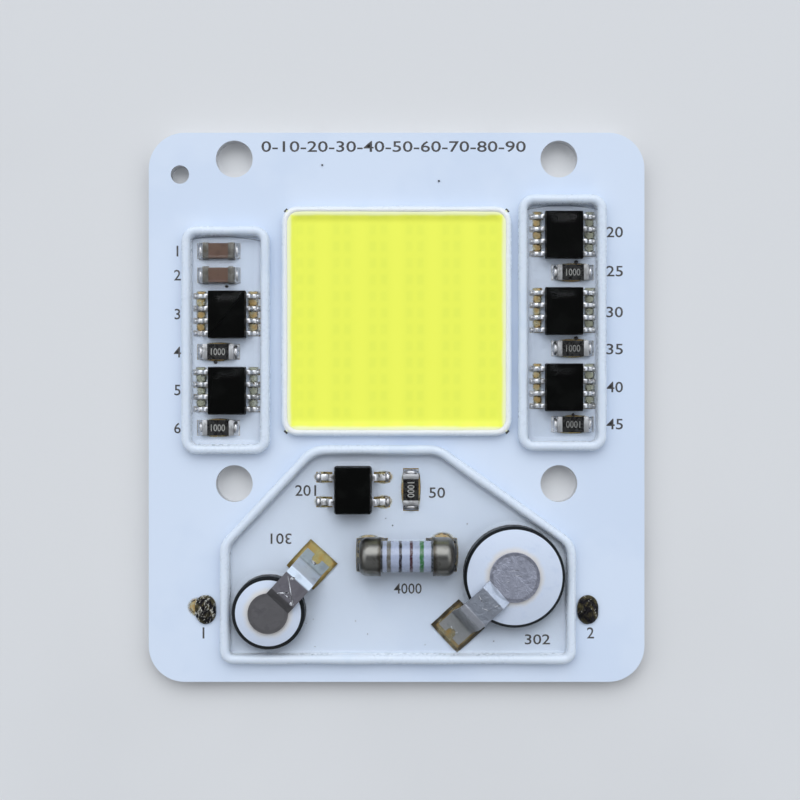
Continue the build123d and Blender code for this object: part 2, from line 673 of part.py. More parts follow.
# Capacitors: a ceramic block with a metal cap on each end
for number, (x, y) in enumerate(CAPACITORS, 1):
    block = (CHIP_L - 2 * END_T, CHIP_W - 2 * END_T, CAPACITOR_H - 2 * END_T)
    centre = (x, y, Z_SEAT + CAPACITOR_H / 2)
    with BuildPart() as capacitor_body:
        with Locations(centre):
            Box(*block)
    save(capacitor_body, f"capacitor_{number}_body")
    with BuildPart() as capacitor_ends:
        for side in (-1, 1):
            with Locations((x + side * (CHIP_L - CAPACITOR_END_L) / 2, y, centre[2])):
                Box(CAPACITOR_END_L, CHIP_W, CAPACITOR_H)
        with Locations(centre):
            Box(*block, mode=Mode.SUBTRACT)
    save(capacitor_ends, f"capacitor_{number}_terminals")

# Bridge rectifier
with BuildPart() as bridge_body:
    moulded_body(BRIDGE_X, BRIDGE_Y, BRIDGE_W, BRIDGE_L, BRIDGE_H, Z_SEAT + SOIC_STANDOFF, BRIDGE_CORNER_R)
save(bridge_body, "bridge_rectifier_body")

with BuildPart() as bridge_leads:
    for y in BRIDGE_LEAD_YS:
        for heading in (0, 180):
            gull_wing((BRIDGE_X, y), heading, BRIDGE_W / 2, SOIC_STANDOFF + BRIDGE_H / 2,
                      BRIDGE_SPAN / 2, BRIDGE_LEAD_W)
save(bridge_leads, "bridge_rectifier_leads")

# Surge resistor: a coated rod, with a pressed cap over each end
SURGE_AXIS_LINE = Axis((SURGE_X, SURGE_Y, SURGE_Z), (1, 0, 0))
SURGE_SIDE = side_plane((SURGE_X, SURGE_Y), 0, SURGE_Z)
with BuildPart() as surge_body:
    with BuildSketch(SURGE_SIDE):
        with Locations((0, SURGE_BODY_R / 2)):
            Rectangle(SURGE_L - 2 * SURGE_CAP_T, SURGE_BODY_R)
    revolve(axis=SURGE_AXIS_LINE)
    chamfer(surge_body.edges().filter_by(GeomType.CIRCLE), SURGE_CAP_ROUND - SURGE_CAP_T)
save(surge_body, "surge_resistor_body")

with BuildPart() as surge_caps:
    for side in (0, 180):
        with BuildSketch(side_plane((SURGE_X, SURGE_Y), side, SURGE_Z)):
            inner, outer = SURGE_L / 2 - SURGE_CAP_L, SURGE_L / 2
            with BuildLine():
                Polyline((outer, SURGE_CAP_R - SURGE_CAP_ROUND), (outer, 0), (inner, 0), (inner, SURGE_CAP_R),
                         (outer - SURGE_CAP_ROUND, SURGE_CAP_R))
                RadiusArc((outer - SURGE_CAP_ROUND, SURGE_CAP_R), (outer, SURGE_CAP_R - SURGE_CAP_ROUND),
                          SURGE_CAP_ROUND)
            make_face()
        revolve(axis=SURGE_AXIS_LINE)
    add(surge_body.part, mode=Mode.SUBTRACT)
save(surge_caps, "surge_resistor_caps")

# Varistors
for name, at, disc_r, silver_r in (
    ("small", SMALL_DISC_XY, SMALL_DISC_R, SMALL_SILVER_R),
    ("large", LARGE_DISC_XY, LARGE_DISC_R, LARGE_SILVER_R),
):
    with BuildPart() as disc:
        with BuildSketch(flat_plane(at, 0, Z_SEAT)):
            Circle(disc_r)
        extrude(amount=DISC_T)
        chamfer(disc.edges().filter_by(GeomType.CIRCLE), DISC_EDGE_R)
    save(disc, f"{name}_varistor_disc")
    with BuildPart() as silver:
        with BuildSketch(flat_plane(at, 0, DISC_Z)):
            Circle(silver_r)
        extrude(amount=SILVER_T)
    save(silver, f"{name}_varistor_silver")

with BuildPart() as small_tab:
    contact_tab(SMALL_DISC_XY, SMALL_TAB_HEADING, SMALL_TAB_R, SMALL_TAB_RISE, SMALL_TAB_FALL,
                SMALL_TAB_FOOT, SMALL_TAB_END)
save(small_tab, "small_varistor_tab")

with BuildPart() as large_tab:
    contact_tab(LARGE_DISC_XY, LARGE_TAB_HEADING, LARGE_TAB_R, LARGE_TAB_RISE, LARGE_TAB_FALL,
                LARGE_TAB_FOOT, LARGE_TAB_END)
save(large_tab, "large_varistor_tab")

# Solder
with BuildPart() as left_solder:
    for x, y in LEFT_DRIVERS:
        driver_joints(x, y)
    for x, y in LEFT_SENSES:
        chip_joints(x, y, RESISTOR_H)
    for x, y in CAPACITORS:
        chip_joints(x, y, CAPACITOR_H)
save(left_solder, "left_solder_joints")

with BuildPart() as right_solder:
    for x, y in RIGHT_DRIVERS:
        driver_joints(x, y)
    for x, y in RIGHT_SENSES:
        chip_joints(x, y, RESISTOR_H)
save(right_solder, "right_solder_joints")

with BuildPart() as lower_solder:
    for y in BRIDGE_LEAD_YS:
        for heading in (0, 180):
            solder_joint((BRIDGE_X, y), heading, BRIDGE_PAD_IN, BRIDGE_SPAN / 2, BRIDGE_PAD_OUT,
                         SOLDER_FILM + TOE_SOLDER_H, BRIDGE_PAD_W)
    chip_joints(BLEED_X, BRIDGE_Y, RESISTOR_H, headings=(90, 270))
    with BuildSketch(Plane.XY.offset(Z_PAD)):
        with Locations(*SURGE_PADS):
            Rectangle(SURGE_PAD_L, SURGE_PAD_W)
    extrude(amount=SURGE_SOLDER_H, taper=SURGE_SOLDER_TAPER)
    add(surge_caps.part, mode=Mode.SUBTRACT)
    add(surge_body.part, mode=Mode.SUBTRACT)
    for at, silver_r, tab_r, heading, foot, end in (
        (SMALL_DISC_XY, SMALL_SILVER_R, SMALL_TAB_R, SMALL_TAB_HEADING, SMALL_TAB_FOOT, SMALL_TAB_END),
        (LARGE_DISC_XY, LARGE_SILVER_R, LARGE_TAB_R, LARGE_TAB_HEADING, LARGE_TAB_FOOT, LARGE_TAB_END),
    ):
        with BuildSketch(flat_plane(at, heading, Z_PAD)):
            Circle(silver_r)
        extrude(amount=SOLDER_FILM)
        with BuildSketch(flat_plane(at, heading, TAB_Z - SOLDER_FILM)):
            Circle(tab_r - TAB_SOLDER_MARGIN)
        extrude(amount=SOLDER_FILM)
        with BuildSketch(flat_plane(at, heading, Z_PAD)):
            with Locations(((foot + end + TAB_SOLDER_MARGIN) / 2, 0)):
                Rectangle(end - foot + TAB_SOLDER_MARGIN, TAB_W + 2 * TAB_SOLDER_MARGIN)
        extrude(amount=SOLDER_FILM)
        with BuildSketch(flat_plane(at, heading, Z_SEAT)):
            with Locations((end - TAB_NOTCH_L + TAB_NOTCH_W / 2, 0)):
                Circle(TAB_NOTCH_W / 2)
        extrude(amount=TAB_T / 2)
save(lower_solder, "lower_solder_joints")

for name, side in (("line", -1), ("neutral", 1)):
    with BuildPart() as terminal:
        with BuildSketch(Plane.XY.offset(Z_PAD)):
            with Locations((side * TERMINAL_X, TERMINAL_Y)):
                SlotOverall(TERMINAL_L, TERMINAL_W, rotation=90)
        extrude(amount=TERMINAL_SOLDER_H)
        fillet(terminal.faces().sort_by(Axis.Z)[-1].edges(), TERMINAL_SOLDER_ROUND)
    save(terminal, f"{name}_terminal_solder")
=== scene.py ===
"""Looks of an LED module: board, light area, potted circuit groups, stage and camera."""

import json
import random
from functools import partial, reduce
from math import atan2, cos, hypot, pi, radians, sin

import bmesh
import bpy
from bpy.props import FloatProperty, FloatVectorProperty, IntProperty, PointerProperty
from mathutils import Matrix, Vector

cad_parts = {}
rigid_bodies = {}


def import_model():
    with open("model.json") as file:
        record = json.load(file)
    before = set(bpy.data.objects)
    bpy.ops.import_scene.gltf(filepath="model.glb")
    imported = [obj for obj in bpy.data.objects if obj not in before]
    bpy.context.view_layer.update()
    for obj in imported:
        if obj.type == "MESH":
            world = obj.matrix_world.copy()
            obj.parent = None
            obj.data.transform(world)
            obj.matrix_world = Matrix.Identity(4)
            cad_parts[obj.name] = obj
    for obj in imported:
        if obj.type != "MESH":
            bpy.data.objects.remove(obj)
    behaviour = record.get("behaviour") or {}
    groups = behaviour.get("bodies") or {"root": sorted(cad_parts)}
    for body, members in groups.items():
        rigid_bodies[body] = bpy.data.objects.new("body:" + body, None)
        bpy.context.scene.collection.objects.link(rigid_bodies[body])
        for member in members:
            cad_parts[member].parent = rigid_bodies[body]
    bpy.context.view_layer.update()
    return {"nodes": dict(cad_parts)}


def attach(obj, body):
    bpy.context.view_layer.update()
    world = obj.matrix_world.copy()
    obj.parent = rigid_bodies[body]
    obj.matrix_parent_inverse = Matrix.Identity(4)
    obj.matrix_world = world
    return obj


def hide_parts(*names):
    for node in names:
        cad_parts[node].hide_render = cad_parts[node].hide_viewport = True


bl_info = {
    "name": "LED module",
    "version": (1, 0, 0),
    "blender": (4, 5, 0),
    "location": "3D View > Sidebar > LED module",
    "description": "Dresses the packed LED module and sets its stage",
    "category": "Object",
}

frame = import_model()

MM = 0.001

# Heights and places that repeat the solid model's, in millimetres
MASK_TOP = 1.6
PAD_TOP = 1.57
GEL_TOP = 2.4
DRIVER_TOP = 3.165
CHIP_TOP = 2.215
LEFT_DRIVERS = [(-17.35, 0.65), (-17.35, -7.15)]
RIGHT_DRIVERS = [(17.14, 8.8), (17.14, 1.0), (17.14, -6.8)]
LEAD_PITCH = 1.27
LEAD_ROWS = [(row - 1.5) * LEAD_PITCH for row in range(4)]
LEAD_TOES = ((-1, 3.33), (1, 3.18))
CHIP_END = 1.78
LEFT_SENSES = [(-18.3, -3.15), (-18.3, -10.95)]
RIGHT_SENSES = [(18.09, 5.0), (18.09, -2.8), (18.09, -10.6)]
CAPACITORS = [(-18.25, 4.7), (-18.25, 7.2)]
BRIDGE = (-4.46, -17.3)
BRIDGE_TOE = 3.55
BLEED = (1.47, -17.3)
SURGE = (1.05, -24.0, 3.59)
SMALL_DISC = (-13.05, -29.75)
SMALL_TURN = radians(47.5)
LARGE_DISC = (12.0, -26.1)
LARGE_TURN = radians(222.4)
TERMINALS = [(-19.65, -29.65), (19.65, -29.65)]
COLUMN_PITCH = 3.74
ROW_PITCH = 1.7
PAIR_PITCH = 1.13
FILL_HALF = 11.3
FILL_FOOT = 1.58
FILL_TOP = 2.22
TICK_CORNER = 11.4


def colour(name, red, green, blue, what):
    """A colour that a user may change."""
    return FloatVectorProperty(name=name, description=what, subtype="COLOR", size=3, min=0, max=1,
                               default=(red, green, blue))


def length(name, value, what, low=0.0, high=1.0):
    """A length that a user may change, in metres."""
    return FloatProperty(name=name, description=what, default=value, min=low, max=high, subtype="DISTANCE",
                         unit="LENGTH", precision=5)


class BoardSettings(bpy.types.PropertyGroup):
    """Finishes of the bare board."""

    lacquer: colour("Lacquer", 0.70, 0.785, 0.915, "White solder mask")
    lacquer_shade: colour("Lacquer shade", 0.665, 0.755, 0.895, "Cooler patches of the mask")
    aluminium: colour("Aluminium", 0.74, 0.75, 0.77, "Core of the board")
    copper: colour("Copper", 0.42, 0.30, 0.10, "Bare copper")
    resin: colour("Resin", 0.72, 0.74, 0.70, "Insulating layer seen at the edge")
    ink: colour("Ink", 0.06, 0.056, 0.056, "Printed numbers and ticks")
    ink_height: length("Ink thickness", 0.00001, "How far the ink stands on the mask")


class LightSettings(bpy.types.PropertyGroup):
    """Finishes of the light-emitting area."""

    phosphor: colour("Phosphor", 0.955, 1.0, 0.105, "Yellow silicone between the dies")
    phosphor_shade: colour("Phosphor over dies", 0.87, 0.935, 0.096, "Yellow silicone over the dies")
    phosphor_rim: colour("Phosphor rim", 0.95, 0.98, 0.55, "Thin yellow silicone by its bead")
    die: colour("Die", 0.30, 0.38, 0.55, "Clear blue crystal")
    climb: length("Edge climb", 0.00024, "How far the fill is drawn up its bead")
    reach: length("Edge reach", 0.0009, "How wide the drawn-up edge is")


class PottingSettings(bpy.types.PropertyGroup):
    """Silicone beads and clear gel."""

    silicone: colour("Silicone", 0.72, 0.785, 0.87, "White bead")
    silicone_shade: colour("Silicone shade", 0.68, 0.755, 0.85, "Cooler patches of the bead")
    # Painted glow: the light bead's inner side painted paler and warmer, for the yellow fill's light on it.
    silicone_painted_glow: colour("Silicone by the light", 0.96, 0.975, 0.93,
                          "Bead where it takes up the yellow fill's light")
    wave: length("Bead wave", 0.00012, "How far the beads wander from true")
    wave_size: length("Bead wave size", 0.004, "Length of the beads' waves")
    climb: length("Gel climb", 0.00024, "How far the gel is drawn up what it wets")
    reach: length("Gel reach", 0.0007, "How wide the drawn-up gel is")
    skin: length("Gel skin", 0.00013, "Height of the gel that lies on the drivers")
    tint: colour("Gel tint", 0.95, 0.945, 0.935, "What the gel lets through")
    refraction: FloatProperty(name="Refraction", description="Index of the gel", default=1.41, min=1, max=2)


class PartSettings(bpy.types.PropertyGroup):
    """Finishes of the packages, their metal and their solder."""

    mould: colour("Moulding", 0.0016, 0.0018, 0.0016, "Black packages")
    tin: colour("Tin", 0.82, 0.83, 0.85, "Plated leads and terminals")
    solder: colour("Solder", 0.78, 0.78, 0.79, "Soldered joints")
    # Also used as the painted shade on the wound resistor's caps.
    tarnish_and_shade: colour("Tarnish", 0.085, 0.078, 0.066, "Dark patches on metal")
    flux: colour("Flux", 0.58, 0.39, 0.14, "Amber residue")
    flux_thin: colour("Thin flux", 0.64, 0.60, 0.34, "Pale amber residue")
    flux_pale: colour("Milky flux", 0.50, 0.515, 0.38, "Milky residue between the outer leads")
    brown: colour("Capacitor brown", 0.135, 0.075, 0.05, "Ceramic of the capacitors")
    coating: colour("Resistor coating", 0.38, 0.43, 0.57, "Coat of the wound resistor")
    enamel: colour("Disc silver", 0.64, 0.71, 0.835, "Fired face of the varistors")
    disc: colour("Disc", 0.012, 0.014, 0.016, "Sintered body of the varistors")
    edge: length("Edge rounding", 0.00007, "Rounding of the packages' edges")


class StageSettings(bpy.types.PropertyGroup):
    """Floor, lights and camera."""

    floor: colour("Floor", 0.74, 0.74, 0.74, "Pale floor")
    height: length("Camera height", 0.1516, "Camera above the floor", high=2)
    lens: FloatProperty(name="Lens", description="Focal length in millimetres", default=65.6, min=20, max=200)
    key: FloatProperty(name="Key light", description="Power in watts", default=1.5, min=0, unit="POWER")
    fill: FloatProperty(name="Fill light", description="Power in watts", default=0.3, min=0, unit="POWER")
    sky: FloatProperty(name="Surroundings", description="Brightness of the room", default=1.7, min=0)
    floor_size: length("Floor size", 1.6, "Side of the floor", high=5)
    seed: IntProperty(name="Seed", description="Start of the random wobble", default=7)


# Node trees


class Wiring:
    """Lays out one node tree with short calls."""

    def __init__(self, tree, material=None):
        self.tree = tree
        self.material = material
        self.shader = tree.nodes.get("Principled BSDF")

    def add(self, kind, inputs=None, **settings):
        """A node with its settings, and with values or links on its inputs."""
        made = self.tree.nodes.new("ShaderNode" + kind)
        for key, value in settings.items():
            setattr(made, key, value)
        for key, value in (inputs or {}).items():
            self.feed(made.inputs[key], value)
        return made

    def feed(self, socket, value):
        """Links a socket to another, or sets its value."""
        if isinstance(value, bpy.types.NodeSocket):
            self.tree.links.new(value, socket)
        elif socket.type == "RGBA":
            socket.default_value = (*value[:3], 1)
        else:
            socket.default_value = value

    def place(self, centre=(0, 0, 0), turn=0.0):
        """Object coordinates in millimetres, from a centre given in millimetres."""
        here = self.add("TexCoord").outputs["Object"]
        here = self.scaled(here, (1 / MM,) * 3)
        moved = self.add("VectorMath", {0: here, 1: tuple(centre)}, operation="SUBTRACT").outputs[0]
        return self.add("VectorRotate", {"Vector": moved, "Angle": -turn}, rotation_type="Z_AXIS").outputs[0]

    def axes(self, vector):
        """The three parts of a vector."""
        return self.add("SeparateXYZ", {0: vector}).outputs

    def scaled(self, vector, factors):
        """A vector or colour multiplied part by part."""
        return self.add("VectorMath", {0: vector, 1: factors}, operation="MULTIPLY").outputs[0]

    def radius(self, vector):
        """Distance from the Z axis."""
        flat = self.scaled(vector, (1, 1, 0))
        return self.add("VectorMath", {0: flat}, operation="LENGTH").outputs["Value"]

    def maths(self, operation, *values):
        """One operation on values or sockets."""
        return self.add("Math", dict(enumerate(values)), operation=operation).outputs[0]

    def plus(self, *values):
        """The sum of values or sockets."""
        return reduce(partial(self.maths, "ADD"), values)

    def minus(self, first, second):
        """The difference of two values or sockets."""
        return self.maths("SUBTRACT", first, second)

    def times(self, *values):
        """The product of values or sockets."""
        return reduce(partial(self.maths, "MULTIPLY"), values)

    def gap(self, first, second):
        """How far apart two values are."""
        return self.maths("ABSOLUTE", self.minus(first, second))

    def squarely(self, x, y):
        """The larger of two distances from zero."""
        return self.maths("MAXIMUM", self.maths("ABSOLUTE", x), self.maths("ABSOLUTE", y))

    def off_middle(self, value, pitch):
        """How far a value lies from the middle of its cell in a row of equal cells."""
        return self.times(self.gap(self.maths("FRACT", self.maths("DIVIDE", value, pitch)), 0.5), pitch)

    def noise(self, vector, scale, detail=3.0, roughness=0.55, warp=0.0):
        """Soft noise between 0 and 1, with its scale in cycles to the millimetre."""
        return self.add("TexNoise",
                        {"Vector": vector, "Scale": scale, "Detail": detail, "Roughness": roughness,
                         "Distortion": warp}).outputs[0]

    def step(self, value, low, high, start=0.0, end=1.0):
        """A smooth step of a value from one level to another."""
        return self.add("MapRange",
                        {"Value": value, "From Min": low, "From Max": high, "To Min": start, "To Max": end},
                        interpolation_type="SMOOTHSTEP").outputs[0]

    def mix(self, share, first, second):
        """A colour between two."""
        made = self.add("Mix", data_type="RGBA")
        self.feed(made.inputs["Factor"], share)
        self.feed(made.inputs[6], first)
        self.feed(made.inputs[7], second)
        return made.outputs[2]

    def bump(self, height, distance):
        """A normal from a height, with the distance in millimetres."""
        return self.add("Bump", {"Height": height, "Distance": distance * MM}).outputs[0]

    def finish(self, **values):
        """Sets the shader's sockets by their names, spaces written as underscores, and gives the material."""
        for key, value in values.items():
            self.feed(self.shader.inputs[key.replace("_", " ")], value)
        return self.material


def effect(wires, name, lay, outputs, values):
    """Places a shared effect with its own values: a node group made once, with named inputs and outputs."""
    tree = bpy.data.node_groups.get(name)
    if tree is None:
        tree = bpy.data.node_groups.new(name, "ShaderNodeTree")
        for side, labels in (("INPUT", values), ("OUTPUT", outputs)):
            for label in labels:
                kind = "NodeSocketColor" if "colour" in label.lower() else "NodeSocketFloat"
                tree.interface.new_socket(name=label, in_out=side, socket_type=kind)
        source, drain = tree.nodes.new("NodeGroupInput"), tree.nodes.new("NodeGroupOutput")
        lay(Wiring(tree), source.outputs, drain.inputs)
    return wires.add("Group", values, node_tree=tree).outputs


def lay_mottle(wires, given, out):
    """Broad patches of a second colour, uneven gloss and fine grain."""
    here = wires.place()
    patches = wires.noise(here, given["Patch scale"], 4)
    low = wires.minus(0.78, wires.times(given["Patch share"], 0.5))
    share = wires.step(patches, low, wires.plus(low, 0.12))
    wires.feed(out["Colour"], wires.mix(share, given["Colour"], given["Patch colour"]))
    fine = wires.noise(here, given["Grain scale"], 2)
    gloss = wires.plus(wires.times(patches, 0.5), wires.times(fine, 0.5))
    wires.feed(out["Roughness"], wires.step(gloss, 0.3, 0.7, given["Smoothest"], given["Roughest"]))
    wires.feed(out["Height"], fine)


def lay_residue(wires, given, out):
    """Amber residue that gathers in patches, darker where it is thick."""
    here = wires.place()
    drift = wires.noise(here, given["Scale"], 3, 0.6, 0.6)
    share = wires.step(drift, wires.minus(0.75, wires.times(given["Amount"], 0.5)), 0.72)
    thick = wires.step(drift, 0.5, 0.75)
    amber = wires.mix(thick, given["Thin colour"], given["Thick colour"])
    wires.feed(out["Colour"], wires.mix(share, given["Metal colour"], amber))


def mottle(wires, first, second, patch_scale=0.08, patch_share=0.5, smooth=0.35, rough=0.5, grain=4.0):
    """Places the mottle effect in a material."""
    return effect(wires, "Mottle", lay_mottle, ("Colour", "Roughness", "Height"),
                  {"Colour": first, "Patch colour": second, "Patch scale": patch_scale,
                   "Patch share": patch_share, "Smoothest": smooth, "Roughest": rough, "Grain scale": grain})


def residue(wires, metal, thin, thick, scale, amount):
    """Places the residue effect in a material."""
    return effect(wires, "Residue", lay_residue, ("Colour",),
                  {"Metal colour": metal, "Thin colour": thin, "Thick colour": thick, "Scale": scale,
                   "Amount": amount})


def started(name):
    """The wiring of a new material."""
    material = bpy.data.materials.new(name)
    material.use_nodes = True
    return Wiring(material.node_tree, material)


def plain_finish(name, first, second, grain_height=0.002, **choices):
    """A finish that is only mottled: colour patches, uneven gloss, fine grain."""
    extra = {k: choices.pop(k) for k in list(choices) if k[0].isupper()}
    wires = started(name)
    spots = mottle(wires, first, second, **choices)
    return wires.finish(Base_Color=spots["Colour"], Roughness=spots["Roughness"],
                        Normal=wires.bump(spots["Height"], grain_height), **extra)


def metal_finish(name, base, parts, amount, smooth, rough, scale=1.4, dark=0.6, dent=0.008):
    """Plated or soldered metal: dull patches, amber residue and soft dents."""
    wires = started(name)
    dull = tuple(dark * a + (1 - dark) * b for a, b in zip(parts.tarnish_and_shade, base))
    spots = mottle(wires, base, dull, 1.1, 0.55, smooth, rough, 6.0)
    stained = residue(wires, spots["Colour"], parts.flux, parts.tarnish_and_shade, scale, amount)
    dents = wires.noise(wires.place(), 1.8, 2)
    return wires.finish(Base_Color=stained["Colour"], Roughness=spots["Roughness"], Metallic=1.0,
                        Normal=wires.bump(dents, dent))


# Modelling


def alone(*pieces):
    """Leaves object mode's selection with only these pieces, the first one active."""
    if bpy.context.object and bpy.context.object.mode != "OBJECT":
        bpy.ops.object.mode_set(mode="OBJECT")
    bpy.ops.object.select_all(action="DESELECT")
    for piece in pieces:
        piece.select_set(True)
    bpy.context.view_layer.objects.active = pieces[0]
    return pieces[0]


def made_with(operator, stretch=None, **settings):
    """A new primitive, added with nothing else selected, and stretched to its size in millimetres."""
    if bpy.context.object:
        alone(bpy.context.object)
    bpy.ops.object.select_all(action="DESELECT")
    operator(**settings)
    piece = bpy.context.object
    if stretch:
        piece.scale = Vector(stretch) * MM
        bpy.ops.object.transform_apply()
    return piece


def editing(piece):
    """Edit mode on one piece with nothing selected, and its mesh."""
    alone(piece)
    bpy.ops.object.mode_set(mode="EDIT")
    bpy.ops.mesh.select_all(action="DESELECT")
    return bmesh.from_edit_mesh(piece.data)


def whole():
    """Selects the whole mesh in edit mode."""
    bpy.ops.mesh.select_all(action="SELECT")


def pick(piece, test):
    """Selects the faces of the piece in edit mode whose centre and normal pass the test."""
    bpy.ops.mesh.select_all(action="DESELECT")
    mesh = bmesh.from_edit_mesh(piece.data)
    for face in mesh.faces:
        if test(face.calc_center_median(), face.normal):
            face.select_set(True)
    bmesh.update_edit_mesh(piece.data)


def back_to_objects():
    """Leaves edit mode."""
    bpy.ops.object.mode_set(mode="OBJECT")


def turned_out():
    """Turns all normals of the piece in edit mode outward, and leaves edit mode."""
    whole()
    bpy.ops.mesh.normals_make_consistent(inside=False)
    back_to_objects()


def shaped(piece, kind, **settings):
    """Adds a modifier and applies it."""
    alone(piece)
    modifier = piece.modifiers.new(kind.title(), kind)
    for key, value in settings.items():
        setattr(modifier, key, value)
    bpy.ops.object.modifier_apply(modifier=modifier.name)


def rounded(piece, width, segments=2, angle=30.0):
    """Rounds the sharp edges, with the width in metres."""
    shaped(piece, "BEVEL", width=width, segments=segments, limit_method="ANGLE", angle_limit=radians(angle))


def copy_of_solid(node, name):
    """A merged copy of a CAD node's mesh, ready to be worked on."""
    piece = bpy.data.objects.new(name, frame["nodes"][node].data.copy())
    bpy.context.collection.objects.link(piece)
    editing(piece)
    bpy.ops.mesh.customdata_custom_splitnormals_clear()
    whole()
    bpy.ops.mesh.remove_doubles(threshold=0.002 * MM)
    bpy.ops.mesh.dissolve_limited(angle_limit=radians(2))
    back_to_objects()
    return piece


def kept(piece, name, material, slot, *replaced, smooth=35.0, flat=False):
    """Finishes a piece: place in its mesh, smooth shading, material, body, nodes it stands for; its slot
    argument is not used.
    """
    alone(piece)
    bpy.ops.object.transform_apply(location=True, rotation=True, scale=True)
    if smooth:
        bpy.ops.object.shade_smooth_by_angle(angle=radians(smooth))
    if flat:
        shaped(piece, "WEIGHTED_NORMAL", weight=50, keep_sharp=True)
    piece.name = piece.data.name = name
    piece.data.materials.clear()
    piece.data.materials.append(material)
    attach(piece, "root")
    if replaced:
        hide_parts(*replaced)
    return piece


def joined(pieces):
    """Several pieces made one mesh."""
    alone(*pieces)
    if len(pieces) > 1:
        bpy.ops.object.join()
    return bpy.context.object


def set_down(piece, place, turn=0.0, size=(1, 1, 1)):
    """Sizes a mesh, turns it about Z and moves it to its place in millimetres."""
    piece.data.transform(Matrix.Translation(Vector(place) * MM) @ Matrix.Rotation(turn, 4, "Z")
                         @ Matrix.Diagonal((*size, 1)))


def copied(piece, rows):
    """Copies of a modelled piece, each with its own mesh, by their places and, if given, turns and sizes."""
    made = []
    for row in rows:
        copy = piece.copy()
        copy.data = piece.data.copy()
        bpy.context.collection.objects.link(copy)
        set_down(copy, *row)
        made.append(copy)
    return made


def dropped(*pieces):
    """Removes helper objects."""
    for piece in pieces:
        bpy.data.objects.remove(piece)


def painted(node, material):
    """Gives a CAD node its material."""
    mesh = frame["nodes"][node].data
    mesh.materials.clear()
    mesh.materials.append(material)


def waves(name, size):
    """A cloud texture that pushes surfaces about."""
    texture = bpy.data.textures.new(name, "CLOUDS")
    texture.noise_scale = size
    texture.noise_depth = 1
    return texture


def waved(piece, name, size, wobble):
    """Pushes a piece's skin about by up to half the wobble, with both lengths in millimetres."""
    shaped(piece, "DISPLACE", texture=waves(name, size * MM), strength=wobble * MM, mid_level=0.5,
           texture_coords="LOCAL")


def blob(name, size, wobble, grid=(20, 12), flat=0.35):
    """A soft mound: a ball squashed to its size, its foot pressed flat, its skin uneven."""
    piece = made_with(bpy.ops.mesh.primitive_uv_sphere_add, size, segments=grid[0], ring_count=grid[1],
                      radius=0.5)
    piece.name = name
    editing(piece)
    whole()
    floor = -size[2] * 0.5 * flat * MM
    bpy.ops.mesh.bisect(plane_co=(0, 0, floor), plane_no=(0, 0, -1), clear_outer=True, use_fill=True)
    back_to_objects()
    piece.data.transform(Matrix.Translation((0, 0, -floor)))
    waved(piece, name, max(size) * 0.35, wobble)
    return piece


def melted(node, voxel, rounds, wobble):
    """A copy of soldered joints, remeshed and run smooth, with lengths in millimetres."""
    piece = copy_of_solid(node, node + "_melted")
    shaped(piece, "REMESH", mode="VOXEL", voxel_size=voxel * MM)
    shaped(piece, "SMOOTH", factor=0.5, iterations=rounds)
    waved(piece, node, 0.9, wobble)
    return piece


def cut_to(piece, outline):
    """Cuts a flat grid to a convex outline given in millimetres, counterclockwise."""
    editing(piece)
    for (x0, y0), (x1, y1) in zip(outline, outline[1:] + outline[:1]):
        whole()
        outward = Vector((y1 - y0, x0 - x1, 0)).normalized()
        bpy.ops.mesh.bisect(plane_co=(x0 * MM, y0 * MM, 0), plane_no=outward, clear_outer=True)
    back_to_objects()


def oblong(left, low, right, high):
    """The corners of an oblong, counterclockwise."""
    return [(left, low), (right, low), (right, high), (left, high)]


def pool(outline, bottom, top, spacing, rise, start, full, walls, falloff="SHARP"):
    """Poured resin: a fine grid cut to its outline, given depth and raised by its distance from the walls."""
    xs, ys = [x for x, _ in outline], [y for _, y in outline]
    width, depth = max(xs) - min(xs), max(ys) - min(ys)
    centre = Vector((max(xs) + min(xs), max(ys) + min(ys), 2 * top)) / 2
    piece = made_with(bpy.ops.mesh.primitive_grid_add, (width, depth, 1), x_subdivisions=int(width / spacing),
                      y_subdivisions=int(depth / spacing), size=1, location=centre * MM)
    cut_to(piece, outline)
    editing(piece)
    whole()
    bpy.ops.mesh.extrude_region_move(TRANSFORM_OT_translate={"value": (0, 0, (bottom - top) * MM)})
    middle = (top + bottom) / 2 * MM
    pick(piece, lambda centre, normal: abs(normal.z) > 0.9 and centre.z < middle)
    bpy.ops.mesh.dissolve_faces()
    turned_out()
    surface = piece.vertex_groups.new(name="surface")
    surface.add([v.index for v in piece.data.vertices if v.co.z > middle], 1.0, "REPLACE")
    shaped(piece, "VERTEX_WEIGHT_PROXIMITY", vertex_group="surface", target=walls, proximity_mode="GEOMETRY",
           proximity_geometry={"FACE"}, min_dist=start, max_dist=full, falloff_type=falloff)
    shaped(piece, "DISPLACE", vertex_group="surface", direction="Z", strength=rise, mid_level=0.0)
    dropped(walls)
    return piece


def wetted(*nodes):
    """One mesh of all that a pool wets."""
    return joined([copy_of_solid(node, "wetted") for node in nodes])


class Making:
    """What the operators share."""

    bl_options = {"REGISTER", "UNDO"}


class MODULE_OT_board(Making, bpy.types.Operator):
    """Finish the board's core, insulation, copper and white mask"""

    bl_idname = "module.board"
    bl_label = "Board"

    def execute(self, context):
        board = context.scene.module_board
        painted("aluminium_base", plain_finish(
            "rolled_aluminium", board.aluminium, tuple(0.8 * c for c in board.aluminium), 0.004,
            patch_scale=0.15, smooth=0.3, rough=0.5, grain=3.0, Metallic=1.0))
        painted("dielectric_layer", plain_finish(
            "insulating_resin", board.resin, tuple(0.9 * c for c in board.resin), smooth=0.5, rough=0.7))
        painted("copper_circuit", plain_finish(
            "etched_copper", board.copper, tuple(0.6 * c for c in board.copper), Metallic=1.0))
        painted("solder_mask", plain_finish(
            "white_lacquer", board.lacquer, board.lacquer_shade, 0.0015,
            patch_scale=0.06, patch_share=0.6, smooth=0.34, rough=0.46, grain=5.0, Specular_IOR_Level=0.45))
        return {"FINISHED"}


